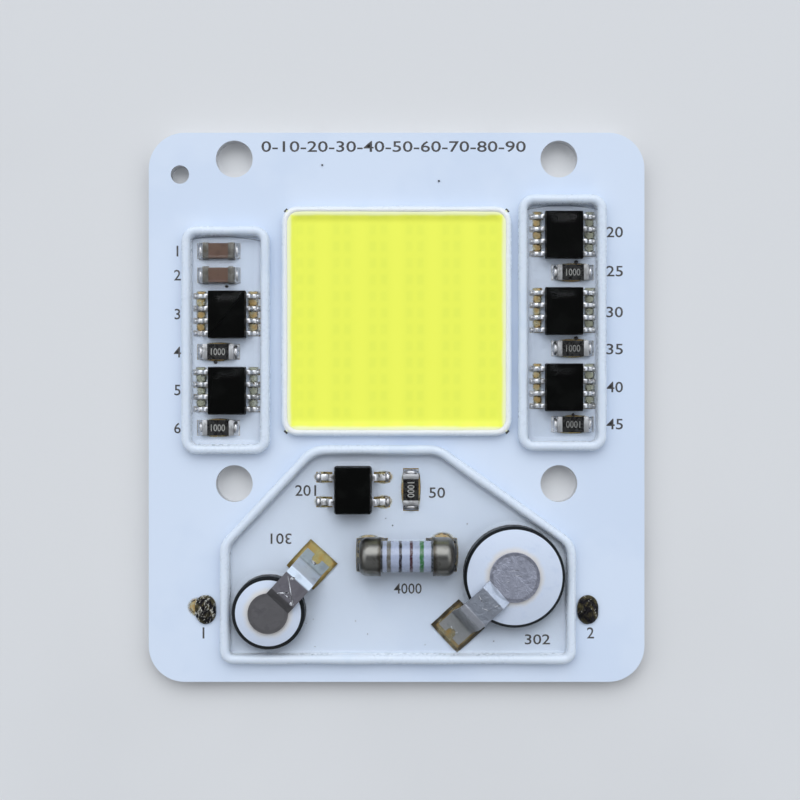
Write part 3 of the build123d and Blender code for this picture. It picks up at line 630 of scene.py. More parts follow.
class MODULE_OT_light_area(Making, bpy.types.Operator):
    """Pour the yellow fill over the dies, inside its white bead"""

    bl_idname = "module.light_area"
    bl_label = "Light area"

    def execute(self, context):
        light = context.scene.module_light
        painted("led_dies", plain_finish("led_crystal", light.die, light.die, smooth=0.05, rough=0.1))
        wires = started("phosphor_silicone")
        here = wires.place()
        x, y, _ = wires.axes(here)
        across = wires.off_middle(x, COLUMN_PITCH)
        along = wires.off_middle(y, ROW_PITCH)
        column = wires.step(across, 1.75, 0.75, 0.0, 0.42)
        die = wires.times(wires.step(wires.gap(across, PAIR_PITCH / 2), 0.55, 0.12),
                          wires.step(along, 0.75, 0.25), 0.48)
        uneven = wires.noise(here, 0.35, 3)
        share = wires.times(wires.plus(column, die), wires.step(uneven, 0.2, 0.75, 0.55, 1.0))
        yellow = wires.mix(share, light.phosphor, light.phosphor_shade)
        rim = wires.step(wires.plus(wires.squarely(x, y), wires.times(uneven, 0.3)), 10.8, 11.2)
        material = wires.finish(Base_Color=wires.mix(rim, yellow, light.phosphor_rim),
                                Roughness=wires.step(wires.noise(here, 0.8, 2), 0.3, 0.7, 0.42, 0.55),
                                Normal=wires.bump(wires.noise(here, 6.0, 2), 0.003), Specular_IOR_Level=0.35)
        fill = pool(oblong(-FILL_HALF, -FILL_HALF, FILL_HALF, FILL_HALF), FILL_FOOT, FILL_TOP, 0.2,
                    light.climb, light.reach, 0.0, wetted("light_area_bead"), "SMOOTH")
        kept(fill, "yellow_fill", material, "phosphor", "phosphor_fill")
        return {"FINISHED"}


class MODULE_OT_beads(Making, bpy.types.Operator):
    """Lay the four white silicone beads, slightly uneven as they are from the nozzle"""

    bl_idname = "module.beads"
    bl_label = "Silicone beads"

    def execute(self, context):
        potting = context.scene.module_potting
        white = self.silicone("white_silicone", potting)
        lit = self.silicone("silicone_with_painted_glow", potting, True)
        for name, share in (("light_area_bead", 0.5), ("left_bead", 1.0), ("right_bead", 1.0),
                            ("lower_bead", 1.4)):
            bead = copy_of_solid(name, name + "_laid")
            shaped(bead, "REMESH", mode="VOXEL", voxel_size=0.11 * MM)
            crown = bead.vertex_groups.new(name="crown")
            for vertex in bead.data.vertices:
                rise = (vertex.co.z / MM - MASK_TOP) / 0.4
                crown.add([vertex.index], max(0.0, min(1.0, rise)), "REPLACE")
            shaped(bead, "SMOOTH", factor=0.5, iterations=4, vertex_group="crown")
            shaped(bead, "DISPLACE", texture=waves(name, potting.wave_size), strength=potting.wave * share,
                   mid_level=0.5, vertex_group="crown", texture_coords="LOCAL")
            coat = lit if name == "light_area_bead" else white
            kept(bead, name + "_laid", coat, "silicone", name, smooth=180.0)
        return {"FINISHED"}

    def silicone(self, name, potting, lit=False):
        """White silicone, and where lit is set a painted glow: the inner side by the yellow fill is painted
        paler and warmer, standing in for the fill's light on it.
        """
        wires = started(name)
        x, y, _ = wires.axes(wires.place())
        body = mottle(wires, potting.silicone, potting.silicone_shade, 0.25, 0.45, 0.24, 0.36, 2.5)
        # Painted glow on the inner side, by the yellow fill.
        warm = wires.step(wires.squarely(x, y), 11.75, 11.2) if lit else 0.0
        return wires.finish(Base_Color=wires.mix(warm, body["Colour"], potting.silicone_painted_glow),
                            Roughness=body["Roughness"], Specular_IOR_Level=0.5, Subsurface_Weight=0.7,
                            Subsurface_Scale=0.5 * MM, Subsurface_Radius=(1, 1, 1),
                            Normal=wires.bump(body["Height"], 0.003))


class MODULE_OT_gel(Making, bpy.types.Operator):
    """Pour the clear gel into the three potted groups"""

    bl_idname = "module.gel"
    bl_label = "Clear gel"

    def execute(self, context):
        potting = context.scene.module_potting
        # Each side: name, outline, drivers, bodies the gel wets, share of the tint that dims the gel as
        # painted shade, and the arc of its painted dark line.
        sides = [
            ("left", oblong(-21.54, -13.17, -13.47, 9.22), LEFT_DRIVERS,
             ["capacitor_1_body", "capacitor_2_body"], 1.0, (-17.9, 8.6, 0.028)),
            ("right", oblong(12.95, -12.82, 21.02, 12.47), RIGHT_DRIVERS, [], 0.93, (16.98, 11.8, 0.032)),
        ]
        # The skins' tint is dimmed by its share too: painted shade over the black drivers.
        thin = self.clear("thin_gel", potting, 0.7, None, Specular_IOR_Level=0.035, Alpha=0.3)
        for name, outline, drivers, bodies, clear, painted_line_arc in sides:
            gel = pool(outline, MASK_TOP + 0.01, GEL_TOP, 0.13, potting.climb, potting.reach, 0.0,
                       wetted(f"{name}_bead", *bodies))
            kept(gel, name + "_clear_gel", self.clear(name + "_gel", potting, clear, painted_line_arc), "gel",
                 name + "_gel", smooth=60.0)
            skin = self.skin(potting)
            films = copied(skin, [((*place, 0),) for place in drivers])
            kept(joined(films), name + "_gel_skins", thin, "gel", smooth=75.0)
            dropped(skin)
        outline = [(-17.6, -34.65), (17.9, -34.65), (17.9, -22.9), (4.25, -13.2), (-8.5, -13.2),
                   (-17.6, -22.9)]
        stands = wetted("lower_bead", "bridge_rectifier_body", "surge_resistor_body", "surge_resistor_caps",
                        "small_varistor_disc", "large_varistor_disc")
        gel = pool(outline, MASK_TOP + 0.01, GEL_TOP, 0.17, potting.climb, potting.reach, 0.0, stands)
        kept(gel, "lower_clear_gel", self.clear("lower_gel", potting, 0.98, None), "gel", "lower_gel",
             smooth=60.0)
        return {"FINISHED"}

    def clear(self, name, potting, share, painted_line_arc, **extra):
        """Clear gel; where an arc is given, a fine dark line painted along it where the gel turns up at the
        bead behind it: a painted reflection of the dark.
        """
        wires = started(name)
        here = wires.place()
        # The share dims the tint: painted shade, which makes some gels darker than others.
        open_tint = tuple(share * c for c in potting.tint)
        tint = open_tint
        # Painted shade: the dark line, on the top surface only.
        if painted_line_arc:
            middle, top, bow = painted_line_arc
            x, y, height = wires.axes(here)
            off = wires.minus(x, middle)
            away = wires.gap(wires.plus(y, wires.times(off, off, bow)), top)
            line = wires.times(wires.step(away, 0.09, 0.02), wires.step(height, 2.3, 2.36, 0.0, 0.9))
            tint = wires.mix(line, open_tint, (0.16, 0.18, 0.22))
        material = wires.finish(Base_Color=tint, Roughness=0.02, IOR=potting.refraction,
                                Transmission_Weight=1.0, Metallic=0.0,
                                Normal=wires.bump(wires.noise(here, 0.35, 2), 0.03), **extra)
        open_way = wires.add("BsdfTransparent", {"Color": [c ** 0.5 for c in open_tint]}).outputs[0]
        shadow = wires.add("LightPath").outputs["Is Shadow Ray"]
        both = wires.add("MixShader", {0: shadow, 1: wires.shader.outputs[0], 2: open_way}).outputs[0]
        wires.feed(wires.tree.nodes["Material Output"].inputs["Surface"], both)
        return material

    def skin(self, potting):
        """The thin gel that lies on a driver and runs down towards the middle of its top edge."""
        walls = made_with(bpy.ops.mesh.primitive_cube_add, (1.1, 0.1, 2), size=1,
                          location=(0, 2.42 * MM, DRIVER_TOP * MM))
        return pool(oblong(-1.85, -2.35, 1.85, 2.35), DRIVER_TOP - 0.03, DRIVER_TOP + 0.01, 0.12,
                    potting.skin, 0.0, 1.35 * MM, walls, "SMOOTH")


class MODULE_OT_packages(Making, bpy.types.Operator):
    """Round and finish the moulded packages, their leads and the chip parts"""

    bl_idname = "module.packages"
    bl_label = "Packages"

    def execute(self, context):
        parts = context.scene.module_parts
        black = plain_finish("black_moulding", parts.mould, tuple(2.0 * c for c in parts.mould), 0.003,
                             patch_scale=0.5, smooth=0.3, rough=0.42, grain=9.0, Specular_IOR_Level=0.06)
        tin = metal_finish("tinned_leads", parts.tin, parts, amount=0.2, smooth=0.25, rough=0.38, dent=0.004)
        ends = metal_finish("tinned_ends", tuple(0.6 * c for c in parts.tin), parts, amount=0.15, smooth=0.34,
                            rough=0.5, scale=0.9, dark=0.4, dent=0.006)
        dull = metal_finish("fired_ends", (0.17, 0.165, 0.15), parts, amount=0.2, smooth=0.4, rough=0.6,
                            scale=2.2, dark=0.5, dent=0.006)
        brown = plain_finish("brown_ceramic", parts.brown, tuple(0.75 * c for c in parts.brown), 0.004,
                             patch_scale=0.9, smooth=0.3, rough=0.5)
        glaze = self.glazed_chip()
        rows = [(f"driver_{n}_body", black, "mould_black", parts.edge) for n in range(1, 6)]
        rows += [(f"driver_{n}_leads", tin, "tinned_lead", 0.03 * MM) for n in range(1, 6)]
        rows += [("bridge_rectifier_body", black, "mould_black", 1.6 * parts.edge),
                 ("bridge_rectifier_leads", tin, "tinned_lead", 0.04 * MM)]
        chips = [f"sense_resistor_{n}" for n in range(1, 6)] + ["bleed_resistor"]
        rows += [(f"{chip}_body", glaze, "resistor_ceramic", 0.015 * MM) for chip in chips]
        rows += [(f"{chip}_terminals", ends, "end_metal", 0.02 * MM) for chip in chips]
        for n in (1, 2):
            rows += [(f"capacitor_{n}_body", brown, "capacitor_ceramic", 0.05 * MM),
                     (f"capacitor_{n}_terminals", dull, "end_metal", 0.05 * MM)]
        for node, material, slot, edge in rows:
            piece = copy_of_solid(node, node + "_rounded")
            rounded(piece, edge)
            kept(piece, node + "_rounded", material, slot, node, flat=True)
        return {"FINISHED"}

    def glazed_chip(self):
        """White ceramic with a black glaze on top, told apart by height."""
        wires = started("glazed_ceramic")
        here = wires.place()
        top = wires.step(wires.axes(here)[2], 2.12, 2.15)
        speck = wires.noise(here, 3.0, 3)
        black = wires.mix(wires.step(speck, 0.5, 0.8), (0.006, 0.006, 0.006), (0.02, 0.02, 0.018))
        return wires.finish(Base_Color=wires.mix(top, (0.55, 0.54, 0.50), black),
                            Roughness=wires.step(speck, 0.3, 0.7, 0.2, 0.4), Normal=wires.bump(speck, 0.01))


class MODULE_OT_surge_resistor(Making, bpy.types.Operator):
    """Finish the wound resistor: painted bands, pressed caps"""

    bl_idname = "module.surge_resistor"
    bl_label = "Wound resistor"

    def execute(self, context):
        parts = context.scene.module_parts
        wires = started("banded_coating")
        here = wires.place(SURGE)
        ragged = wires.times(wires.minus(wires.noise(here, 1.6, 3), 0.5), 0.16)
        along = wires.plus(wires.axes(here)[0], ragged)
        thin = wires.step(wires.noise(here, 4.0, 2), 0.25, 0.55, 0.75, 1.0)
        body = mottle(wires, parts.coating, tuple(0.82 * c for c in parts.coating), 0.6, 0.45, 0.22, 0.35,
                      3.0)
        colours = body["Colour"]
        # The last two rows darken the coat where it meets the caps.
        for centre, half, paint in ((-1.83, 0.2, (0.11, 0.105, 0.09)), (-0.66, 0.15, (0.012, 0.01, 0.014)),
                                    (0.44, 0.15, (0.05, 0.012, 0.02)), (1.5, 0.2, (0.03, 0.15, 0.045)),
                                    (-2.58, 0.13, (0.035, 0.037, 0.042)), (2.56, 0.12, (0.05, 0.062, 0.066))):
            share = wires.times(wires.step(wires.gap(along, centre), half + 0.05, half - 0.05), thin)
            colours = wires.mix(share, colours, paint)
        material = wires.finish(Base_Color=colours, Roughness=body["Roughness"], Coat_Weight=0.4,
                                Coat_Roughness=0.1, Normal=wires.bump(body["Height"], 0.02))
        rod = copy_of_solid("surge_resistor_body", "wound_rod")
        kept(rod, "wound_rod", material, "surge_coating", "surge_resistor_body", smooth=40.0)
        caps = copy_of_solid("surge_resistor_caps", "pressed_caps")
        kept(caps, "pressed_caps", self.pressed_metal(parts.tarnish_and_shade), "cap_metal", "surge_resistor_caps",
             smooth=50.0)
        return {"FINISHED"}

    def pressed_metal(self, tarnish_and_shade):
        """Satin caps, with painted shade in the tarnish colour along their inner rims and round their
        shoulders.
        """
        wires = started("caps_with_painted_shade")
        here = wires.place(SURGE)
        away = wires.maths("ABSOLUTE", wires.axes(here)[0])
        cloud = wires.noise(here, 0.8, 4, 0.6, 0.4)
        drift = wires.plus(away, wires.times(wires.minus(cloud, 0.5), 0.7))
        # Painted shade: darker by the inner rims and round the shoulders.
        painted_shade = wires.maths("MAXIMUM", wires.step(drift, 3.1, 2.75), wires.step(drift, 4.2, 4.75))
        spots = mottle(wires, (0.21, 0.206, 0.19), (0.135, 0.13, 0.115), 0.7, 0.55, 0.27, 0.38, 5.0)
        return wires.finish(Base_Color=wires.mix(painted_shade, spots["Colour"], tarnish_and_shade), Metallic=1.0,
                            Roughness=spots["Roughness"], Normal=wires.bump(cloud, 0.02))


class MODULE_OT_varistors(Making, bpy.types.Operator):
    """Finish the two disc varistors and their bent contact tabs"""

    bl_idname = "module.varistors"
    bl_label = "Varistors"

    def execute(self, context):
        parts = context.scene.module_parts
        body = plain_finish("sintered_disc", parts.disc, tuple(1.8 * c for c in parts.disc), 0.006,
                            smooth=0.35, rough=0.5, grain=5.0, Specular_IOR_Level=0.12)
        # Each tab's colours along its length, from the distances in millimetres where they start: partly the
        # metal's own tone, partly painted highlight where a fold catches the light and painted shade where
        # the strip turns away from it
        small_tones_with_painted_light = [(0.0, (0.19, 0.184, 0.19)), (2.3, (0.235, 0.225, 0.25)), (4.5, (0.51, 0.58, 0.66)),
                       (5.2, (0.80, 0.87, 0.98)), (6.2, (0.39, 0.45, 0.49))]
        large_tones_with_painted_light = [(0.0, (0.43, 0.445, 0.53)), (2.15, (0.46, 0.51, 0.60)), (3.0, (0.33, 0.355, 0.41)),
                       (5.45, (0.60, 0.62, 0.68)), (6.15, (0.44, 0.455, 0.48)), (7.1, (0.31, 0.32, 0.325))]
        # low is the smoothest roughness; rim is how much colour the pressed ring keeps, its painted shade
        for size, centre, turn, plate, tones_with_painted_light, low, rim in (
            ("small", SMALL_DISC, SMALL_TURN, 2.05, small_tones_with_painted_light, 0.38, 0.85),
            ("large", LARGE_DISC, LARGE_TURN, 2.55, large_tones_with_painted_light, 0.34, 0.55),
        ):
            disc = copy_of_solid(f"{size}_varistor_disc", "disc")
            kept(disc, f"{size}_disc", body, "varistor_ceramic", f"{size}_varistor_disc")
            wires = started(f"{size}_disc_silver")
            here = wires.place((*centre, 0))
            rough = wires.noise(here, 0.9, 4)
            near = wires.step(wires.plus(wires.radius(here), wires.times(rough, 0.5)), plate + 0.95,
                              plate + 0.25, 0.0, 0.75)
            face = wires.mix(near, parts.enamel, (0.74, 0.69, 0.62))
            face = wires.mix(wires.step(rough, 0.55, 0.8, 0.0, 0.35), face, (0.48, 0.57, 0.74))
            silver = wires.finish(Base_Color=face, Roughness=wires.step(rough, 0.3, 0.7, 0.4, 0.55),
                                  Normal=wires.bump(wires.noise(here, 4.0, 3), 0.01), Metallic=0.15)
            skin = copy_of_solid(f"{size}_varistor_silver", "silver")
            rounded(skin, 0.02 * MM)
            kept(skin, f"{size}_disc_face", silver, "varistor_silver", f"{size}_varistor_silver")
            tab = copy_of_solid(f"{size}_varistor_tab", "tab")
            self.fold(tab)
            strip = self.strip(size, centre, turn, plate, tones_with_painted_light, low, rim)
            kept(tab, f"{size}_contact_tab", strip, "tab_metal", f"{size}_varistor_tab", smooth=50.0,
                 flat=True)
        self.scratches()
        return {"FINISHED"}

    def strip(self, size, centre, turn, plate, tones_with_painted_light, low, rim):
        """Tinned strip: its own tones along it with painted highlight at the folds and painted shade where it
        turns away, a pressed ring round the plate with painted shade in it, draw marks and wrinkles.
        """
        wires = started(f"{size}_contact_strip")
        here = wires.place((*centre, 0), turn)
        along = wires.axes(here)[0]
        out = wires.radius(here)
        cloud = wires.noise(here, 0.9, 4, 0.6, 0.4)
        tone_with_painted_light = tones_with_painted_light[0][1]
        for start, next_tone_with_painted_light in tones_with_painted_light[1:]:
            tone_with_painted_light = wires.mix(wires.step(along, start - 0.08, start + 0.08), tone_with_painted_light, next_tone_with_painted_light)
        spots = mottle(wires, (1.0, 1.0, 1.0), (0.84, 0.84, 0.85), 0.8, 0.5, low, low + 0.12, 6.0)
        # The pressed ring keeps only rim of the colour: painted shade in its groove.
        ring = wires.times(wires.step(out, plate - 0.45, plate - 0.28),
                           wires.step(out, plate + 0.05, plate - 0.12))
        shade = wires.mix(wires.times(ring, wires.step(cloud, 0.3, 0.7, 0.5, 1.0)), spots["Colour"],
                          (rim, rim, rim))
        wrinkle = wires.times(wires.noise(here, 1.1, 5, 0.6, 2.5), 2.4 * (1 - rim))
        height = wires.plus(wires.times(ring, -0.25 * (1 - rim)),
                            wires.times(wires.noise(here, 7.0, 3), 0.05), wrinkle, wires.times(cloud, 0.5))
        dull = wires.step(along, tones_with_painted_light[-2][0] - 0.1, tones_with_painted_light[-2][0] + 0.1, 0.0, 0.16)
        return wires.finish(Base_Color=wires.scaled(tone_with_painted_light, shade), Metallic=1.0,
                            Roughness=wires.plus(spots["Roughness"], dull), Normal=wires.bump(height, 0.05))

    def scratches(self):
        """Bright smears of solder dragged over the tabs."""
        dab = blob("dab", (1.0, 1.0, 0.3), 0.12, (20, 10), -0.2)
        shine = plain_finish("smeared_solder", (0.80, 0.81, 0.84), (0.55, 0.56, 0.60), 0.01, patch_scale=2.0,
                             smooth=0.35, rough=0.55, Metallic=0.6)
        # Places, heights, lengths and widths in millimetres, and turns in degrees
        spots = {
            "small": [(-11.46, -27.59, 4.43, 1.25, 0.16, 3), (-10.72, -27.3, 4.43, 2.9, 0.13, -80),
                      (-10.49, -26.14, 4.43, 0.5, 0.32, 20), (-10.62, -28.7, 4.43, 0.42, 0.4, 0),
                      (-11.05, -27.95, 4.43, 0.8, 0.12, -35), (-8.5, -24.8, 1.85, 0.75, 0.3, -42)],
            "large": [(11.9, -25.4, 3.98, 1.1, 0.05, 6), (12.3, -25.9, 3.98, 1.0, 0.05, -9),
                      (11.3, -26.5, 3.98, 0.6, 0.04, 30), (8.5, -28.2, 4.43, 0.8, 0.08, -62),
                      (10.2, -28.9, 4.43, 0.7, 0.06, 12), (9.1, -29.3, 4.43, 1.0, 0.06, -20),
                      (5.65, -31.4, 1.84, 0.4, 0.2, -60), (6.2, -31.95, 1.84, 0.42, 0.24, 30)],
        }
        for size, rows in spots.items():
            made = copied(dab, [((x, y, z), radians(angle), (long, wide, 0.18))
                                for x, y, z, long, wide, angle in rows])
            kept(joined(made), f"{size}_tab_smears", shine, "solder", smooth=60.0)
        dropped(dab)

    def fold(self, tab):
        """Gives the strip's folds their bending radius, then rounds what is left sharp."""
        mesh = editing(tab)
        for edge in mesh.edges:
            folded = len(edge.link_faces) == 2 and 0.26 < edge.calc_face_angle() < 1.2
            if folded and edge.calc_length() > 1.5 * MM:
                edge.select_set(True)
        bmesh.update_edit_mesh(tab.data)
        bpy.ops.mesh.bevel(offset=0.1 * MM, segments=3, affect="EDGES", clamp_overlap=True)
        back_to_objects()
        rounded(tab, 0.03 * MM, 2, 60)


class MODULE_OT_solder(Making, bpy.types.Operator):
    """Add the rounded solder at the toes and ends, and the terminals' mounds"""

    bl_idname = "module.solder"
    bl_label = "Solder"

    def execute(self, context):
        parts = context.scene.module_parts
        bright = metal_finish("bright_solder", parts.solder, parts, amount=0.2, smooth=0.24, rough=0.38,
                              scale=1.1, dark=0.4, dent=0.01)
        aged = self.aged(parts)
        for side, voxel in (("left", 0.055), ("right", 0.055), ("lower", 0.09)):
            joints = melted(f"{side}_solder_joints", voxel, 6, 0.03)
            kept(joints, f"{side}_melted_joints", aged if side == "lower" else bright, "solder",
                 f"{side}_solder_joints", smooth=180.0)
        toe = blob("toe", (0.55, 0.5, 0.42), 0.03, (16, 10))
        heap = blob("heap", (1.45, 0.7, 0.8), 0.06)
        groups = (("left", LEFT_DRIVERS, LEFT_SENSES + CAPACITORS), ("right", RIGHT_DRIVERS, RIGHT_SENSES))
        for name, drivers, chips in groups:
            toes = [((x + side * reach, y + row, PAD_TOP),) for x, y in drivers for row in LEAD_ROWS
                    for side, reach in LEAD_TOES]
            ends = [((x + side * CHIP_END, y, PAD_TOP), pi / 2) for x, y in chips for side in (-1, 1)]
            kept(joined(copied(toe, toes) + copied(heap, ends)), f"{name}_solder_beads", bright, "solder",
                 smooth=60.0)
        toes = [((BRIDGE[0] + side * BRIDGE_TOE, BRIDGE[1] + row, PAD_TOP),) for side in (-1, 1)
                for row in (-LEAD_PITCH, LEAD_PITCH)]
        ends = [((BLEED[0], BLEED[1] + side * CHIP_END, PAD_TOP),) for side in (-1, 1)]
        wide = blob("wide_toe", (0.6, 0.95, 0.45), 0.06)
        kept(joined(copied(wide, toes) + copied(heap, ends)), "lower_solder_beads", bright, "solder",
             smooth=60.0)
        mound = blob("mound", (2.2, 3.05, 1.0), 0.2, (48, 28), 0.3)
        for name, node, place, turn, least in (
            ("left_mound", "line_terminal_solder", TERMINALS[0], 0.0, 0.545),
            ("right_mound", "neutral_terminal_solder", TERMINALS[1], pi, 0.62),
        ):
            made, = copied(mound, [((*place, PAD_TOP), turn)])
            kept(made, name, self.burnt(name, place, least), "solder", node, smooth=180.0)
        dropped(toe, heap, wide, mound)
        return {"FINISHED"}

    def aged(self, parts):
        """The lower group's solder: bright behind, dark and brown round the wound resistor."""
        wires = started("aged_solder")
        here = wires.place()
        spots = mottle(wires, parts.solder, tuple(0.55 * c for c in parts.solder), 1.3, 0.5, 0.24, 0.38, 6.0)
        brown = wires.mix(wires.step(wires.noise(here, 2.2, 3), 0.5, 0.62), (0.03, 0.027, 0.022),
                          (0.26, 0.20, 0.08))
        front = wires.step(wires.axes(here)[1], -20.0, -20.6)
        return wires.finish(Base_Color=wires.mix(front, spots["Colour"], brown), Metallic=1.0,
                            Roughness=spots["Roughness"], Normal=wires.bump(spots["Height"], 0.006))

    def burnt(self, name, place, least):
        """Lumpy old solder, near black with olive stains and bright streaks, fewer with a higher limit."""
        wires = started(f"{name}_solder")
        here = wires.place((*place, 0), -0.3)
        lumps = wires.noise(wires.scaled(here, (2.0, 0.9, 1.0)), 1.45, 4, 0.55, 1.2)
        stains = wires.noise(here, 0.7, 3, 0.6, 0.8)
        dark = wires.mix(wires.step(stains, 0.45, 0.6), (0.022, 0.02, 0.022), (0.12, 0.10, 0.05))
        return wires.finish(Base_Color=wires.mix(wires.step(lumps, least, least + 0.06), dark,
                                                 (0.62, 0.59, 0.50)), Metallic=1.0,
                            Roughness=wires.step(stains, 0.3, 0.7, 0.22, 0.4), Normal=wires.bump(lumps, 0.5))


class MODULE_OT_flux(Making, bpy.types.Operator):
    """Leave the amber residue round the soldered joints"""

    bl_idname = "module.flux"
    bl_label = "Flux residue"

    def execute(self, context):
        parts = context.scene.module_parts
        random.seed(context.scene.module_stage.seed)
        amber = self.residue("amber_residue", parts.flux_thin, parts.flux)
        milky = self.residue("milky_residue", parts.flux_pale, tuple(0.85 * c for c in parts.flux_pale))
        patch = blob("patch", (1.1, 1.1, 0.4), 0.04, (24, 14), -0.3)
        half = max(vertex.co.x for vertex in patch.data.vertices)
        depth = patch.data.attributes.new("depth", "FLOAT", "POINT")
        depth.data.foreach_set("value", [max(0.0, 1 - hypot(v.co.x, v.co.y) / half)
                                         for v in patch.data.vertices])
        square, = copied(patch, [((0, 0, 0),)])
        self.squared(square)
        self.films("left_lead_residue", square, amber, self.between_leads(*LEFT_DRIVERS[0], -1, 1.2)
                   + self.between_leads(*LEFT_DRIVERS[0], 1, 1.25))
        self.films("left_milky_residue", square, milky, self.between_leads(*LEFT_DRIVERS[1], -1, 1.2)
                   + self.between_leads(*LEFT_DRIVERS[1], 1, 1.2))
        self.films("right_lead_residue", square, amber,
                   sum((self.between_leads(x, y, -1, 1.05) for x, y in RIGHT_DRIVERS), []))
        self.films("right_milky_residue", square, milky,
                   sum((self.between_leads(x, y, 1, 1.25) for x, y in RIGHT_DRIVERS), []))
        around = {"left": [], "right": [], "lower": []}
        for name, chips in (("left", LEFT_SENSES), ("right", RIGHT_SENSES)):
            for x, y in chips:
                around[name] += [(x + 0.1, y + 0.8, 2.9, 0.38), (x - 0.1, y - 0.82, 2.9, 0.34),
                                 (x - 1.95, y, 0.45, 1.6)]
        for x, y in CAPACITORS:
            around["left"].append((x - 1.9, y, 0.5, 1.7))
        x, y = BRIDGE
        around["lower"] += [(x + side * 3.1, y + row, 1.9, 1.35) for side in (-1, 1)
                            for row in (-LEAD_PITCH, LEAD_PITCH)]
        x, y = BLEED
        around["lower"] += [(x + side * 0.8, y + 0.1, 0.5, 3.4) for side in (-1, 1)]
        x, y, _ = SURGE
        around["lower"] += [(x + 3.7, y + 1.6, 2.3, 1.4), (x - 3.9, y + 1.8, 2.1, 0.5),
                            (x - 4.85, y, 0.6, 3.1), (x + 4.95, y, 0.6, 3.3),
                            (TERMINALS[0][0] - 0.93, TERMINALS[0][1] + 0.25, 1.8, 1.85)]
        for name, spots in around.items():
            self.films(name + "_residue", patch, amber, spots)
        dropped(patch, square)
        gold = ((0.52, 0.45, 0.19), (0.46, 0.29, 0.075), (0.16, 0.115, 0.035), 0.04)
        brown = ((0.27, 0.24, 0.15), (0.30, 0.19, 0.06), (0.045, 0.036, 0.022), 0.2)
        self.puddle("small", SMALL_DISC, SMALL_TURN, 4.75, 8.2, 3.55, gold)
        self.puddle("large", LARGE_DISC, LARGE_TURN, 5.9, 9.55, 3.8, brown)
        return {"FINISHED"}

    def puddle(self, size, centre, turn, near, far, wide, finish):
        """Amber residue that covers a tab's pad and ends in a dark rim."""
        reach = (near + far) / 2
        middle = (centre[0] + reach * cos(turn), centre[1] + reach * sin(turn))
        half = ((far - near) / 2 + 0.12, wide / 2 + 0.1)
        wires = started(f"{size}_pad_residue")
        here = wires.place((*middle, 0), turn)
        drift = wires.noise(here, 0.9, 4, 0.6, 0.8)
        along, across, _ = wires.axes(here)
        edge = wires.maths("MAXIMUM", *(wires.minus(wires.maths("ABSOLUTE", value), limit)
                                        for value, limit in zip((along, across), half)))
        edge = wires.plus(edge, wires.times(drift, 0.6))
        thin, thick, dark, wide_rim = finish
        rim = wires.times(wires.step(edge, 0.0 - wide_rim, 0.3 - wide_rim),
                          wires.step(wires.noise(here, 0.7, 2), 0.3, 0.5, 0.5, 1.0))
        flank = wires.times(wires.step(along, 1.1 - half[0], 0.5 - half[0]),
                            wires.step(wires.noise(here, 1.4, 2), 0.42, 0.55))
        rim = wires.maths("MAXIMUM", rim, flank)
        gold = wires.mix(wires.step(drift, 0.4, 0.62), thin, thick)
        material = wires.finish(Base_Color=wires.mix(rim, gold, dark), Roughness=0.12,
                                Alpha=wires.maths("MAXIMUM", wires.step(drift, 0.3, 0.6, 0.5, 0.92), rim),
                                Normal=wires.bump(drift, 0.15))
        slab = made_with(bpy.ops.mesh.primitive_grid_add, (2 * half[0], 2 * half[1], 1), x_subdivisions=24,
                         y_subdivisions=24, size=1)
        editing(slab)
        whole()
        bpy.ops.mesh.extrude_region_move(TRANSFORM_OT_translate={"value": (0, 0, -0.17 * MM)})
        turned_out()
        waved(slab, size + "_puddle", 0.7, 0.08)
        set_down(slab, (*middle, MASK_TOP + 0.2), turn)
        kept(slab, f"{size}_pad_residue", material, "gel", smooth=60.0)

    def residue(self, name, thin, thick):
        """Residue that is clearer where it is thin and fades out at its edge."""
        wires = started(name)
        here = wires.place()
        drift = wires.noise(here, 1.3, 3, 0.6, 0.5)
        depth = wires.add("Attribute", attribute_name="depth").outputs["Fac"]
        thickness = wires.plus(drift, wires.times(depth, 0.25))
        height = wires.axes(here)[2]
        return wires.finish(Base_Color=wires.mix(wires.step(thickness, 0.45, 0.75), thin, thick),
                            Roughness=wires.step(drift, 0.3, 0.7, 0.12, 0.3),
                            Alpha=wires.times(wires.step(drift, 0.3, 0.6, 0.36, 0.66),
                                              wires.step(depth, 0.0, 0.45),
                                              wires.step(height, MASK_TOP + 0.002, MASK_TOP + 0.006)))

    def films(self, name, patch, material, spots):
        """Copies of a patch as one piece, from their places and sizes in millimetres."""
        rows = [((x, y, MASK_TOP + 0.003), 0.0,
                 (wide * random.uniform(0.9, 1.1), tall * random.uniform(0.9, 1.1), 0.35))
                for x, y, wide, tall in spots]
        kept(joined(copied(patch, rows)), name, material, "gel", smooth=60.0)

    def between_leads(self, x, y, side, wide):
        """Places and sizes of the patches between the leads on one side of a driver."""
        rows = ((-LEAD_PITCH, 1.05), (0.0, 1.05), (LEAD_PITCH, 1.05), (2.25, 0.45))
        return [(x + side * (2.72 + random.uniform(-0.05, 0.05)), y + row, 1.15 * wide, tall)
                for row, tall in rows]

    def squared(self, patch):
        """Draws a round patch out into its corners."""
        half = max(vertex.co.x for vertex in patch.data.vertices)
        for vertex in patch.data.vertices:
            u, v = vertex.co.x / half, vertex.co.y / half
            side = max(abs(u), abs(v), 1e-9)
            reach = 0.7 * hypot(u, v) / side + 0.3
            vertex.co.x, vertex.co.y = u * reach * 0.5 * MM, v * reach * 0.5 * MM


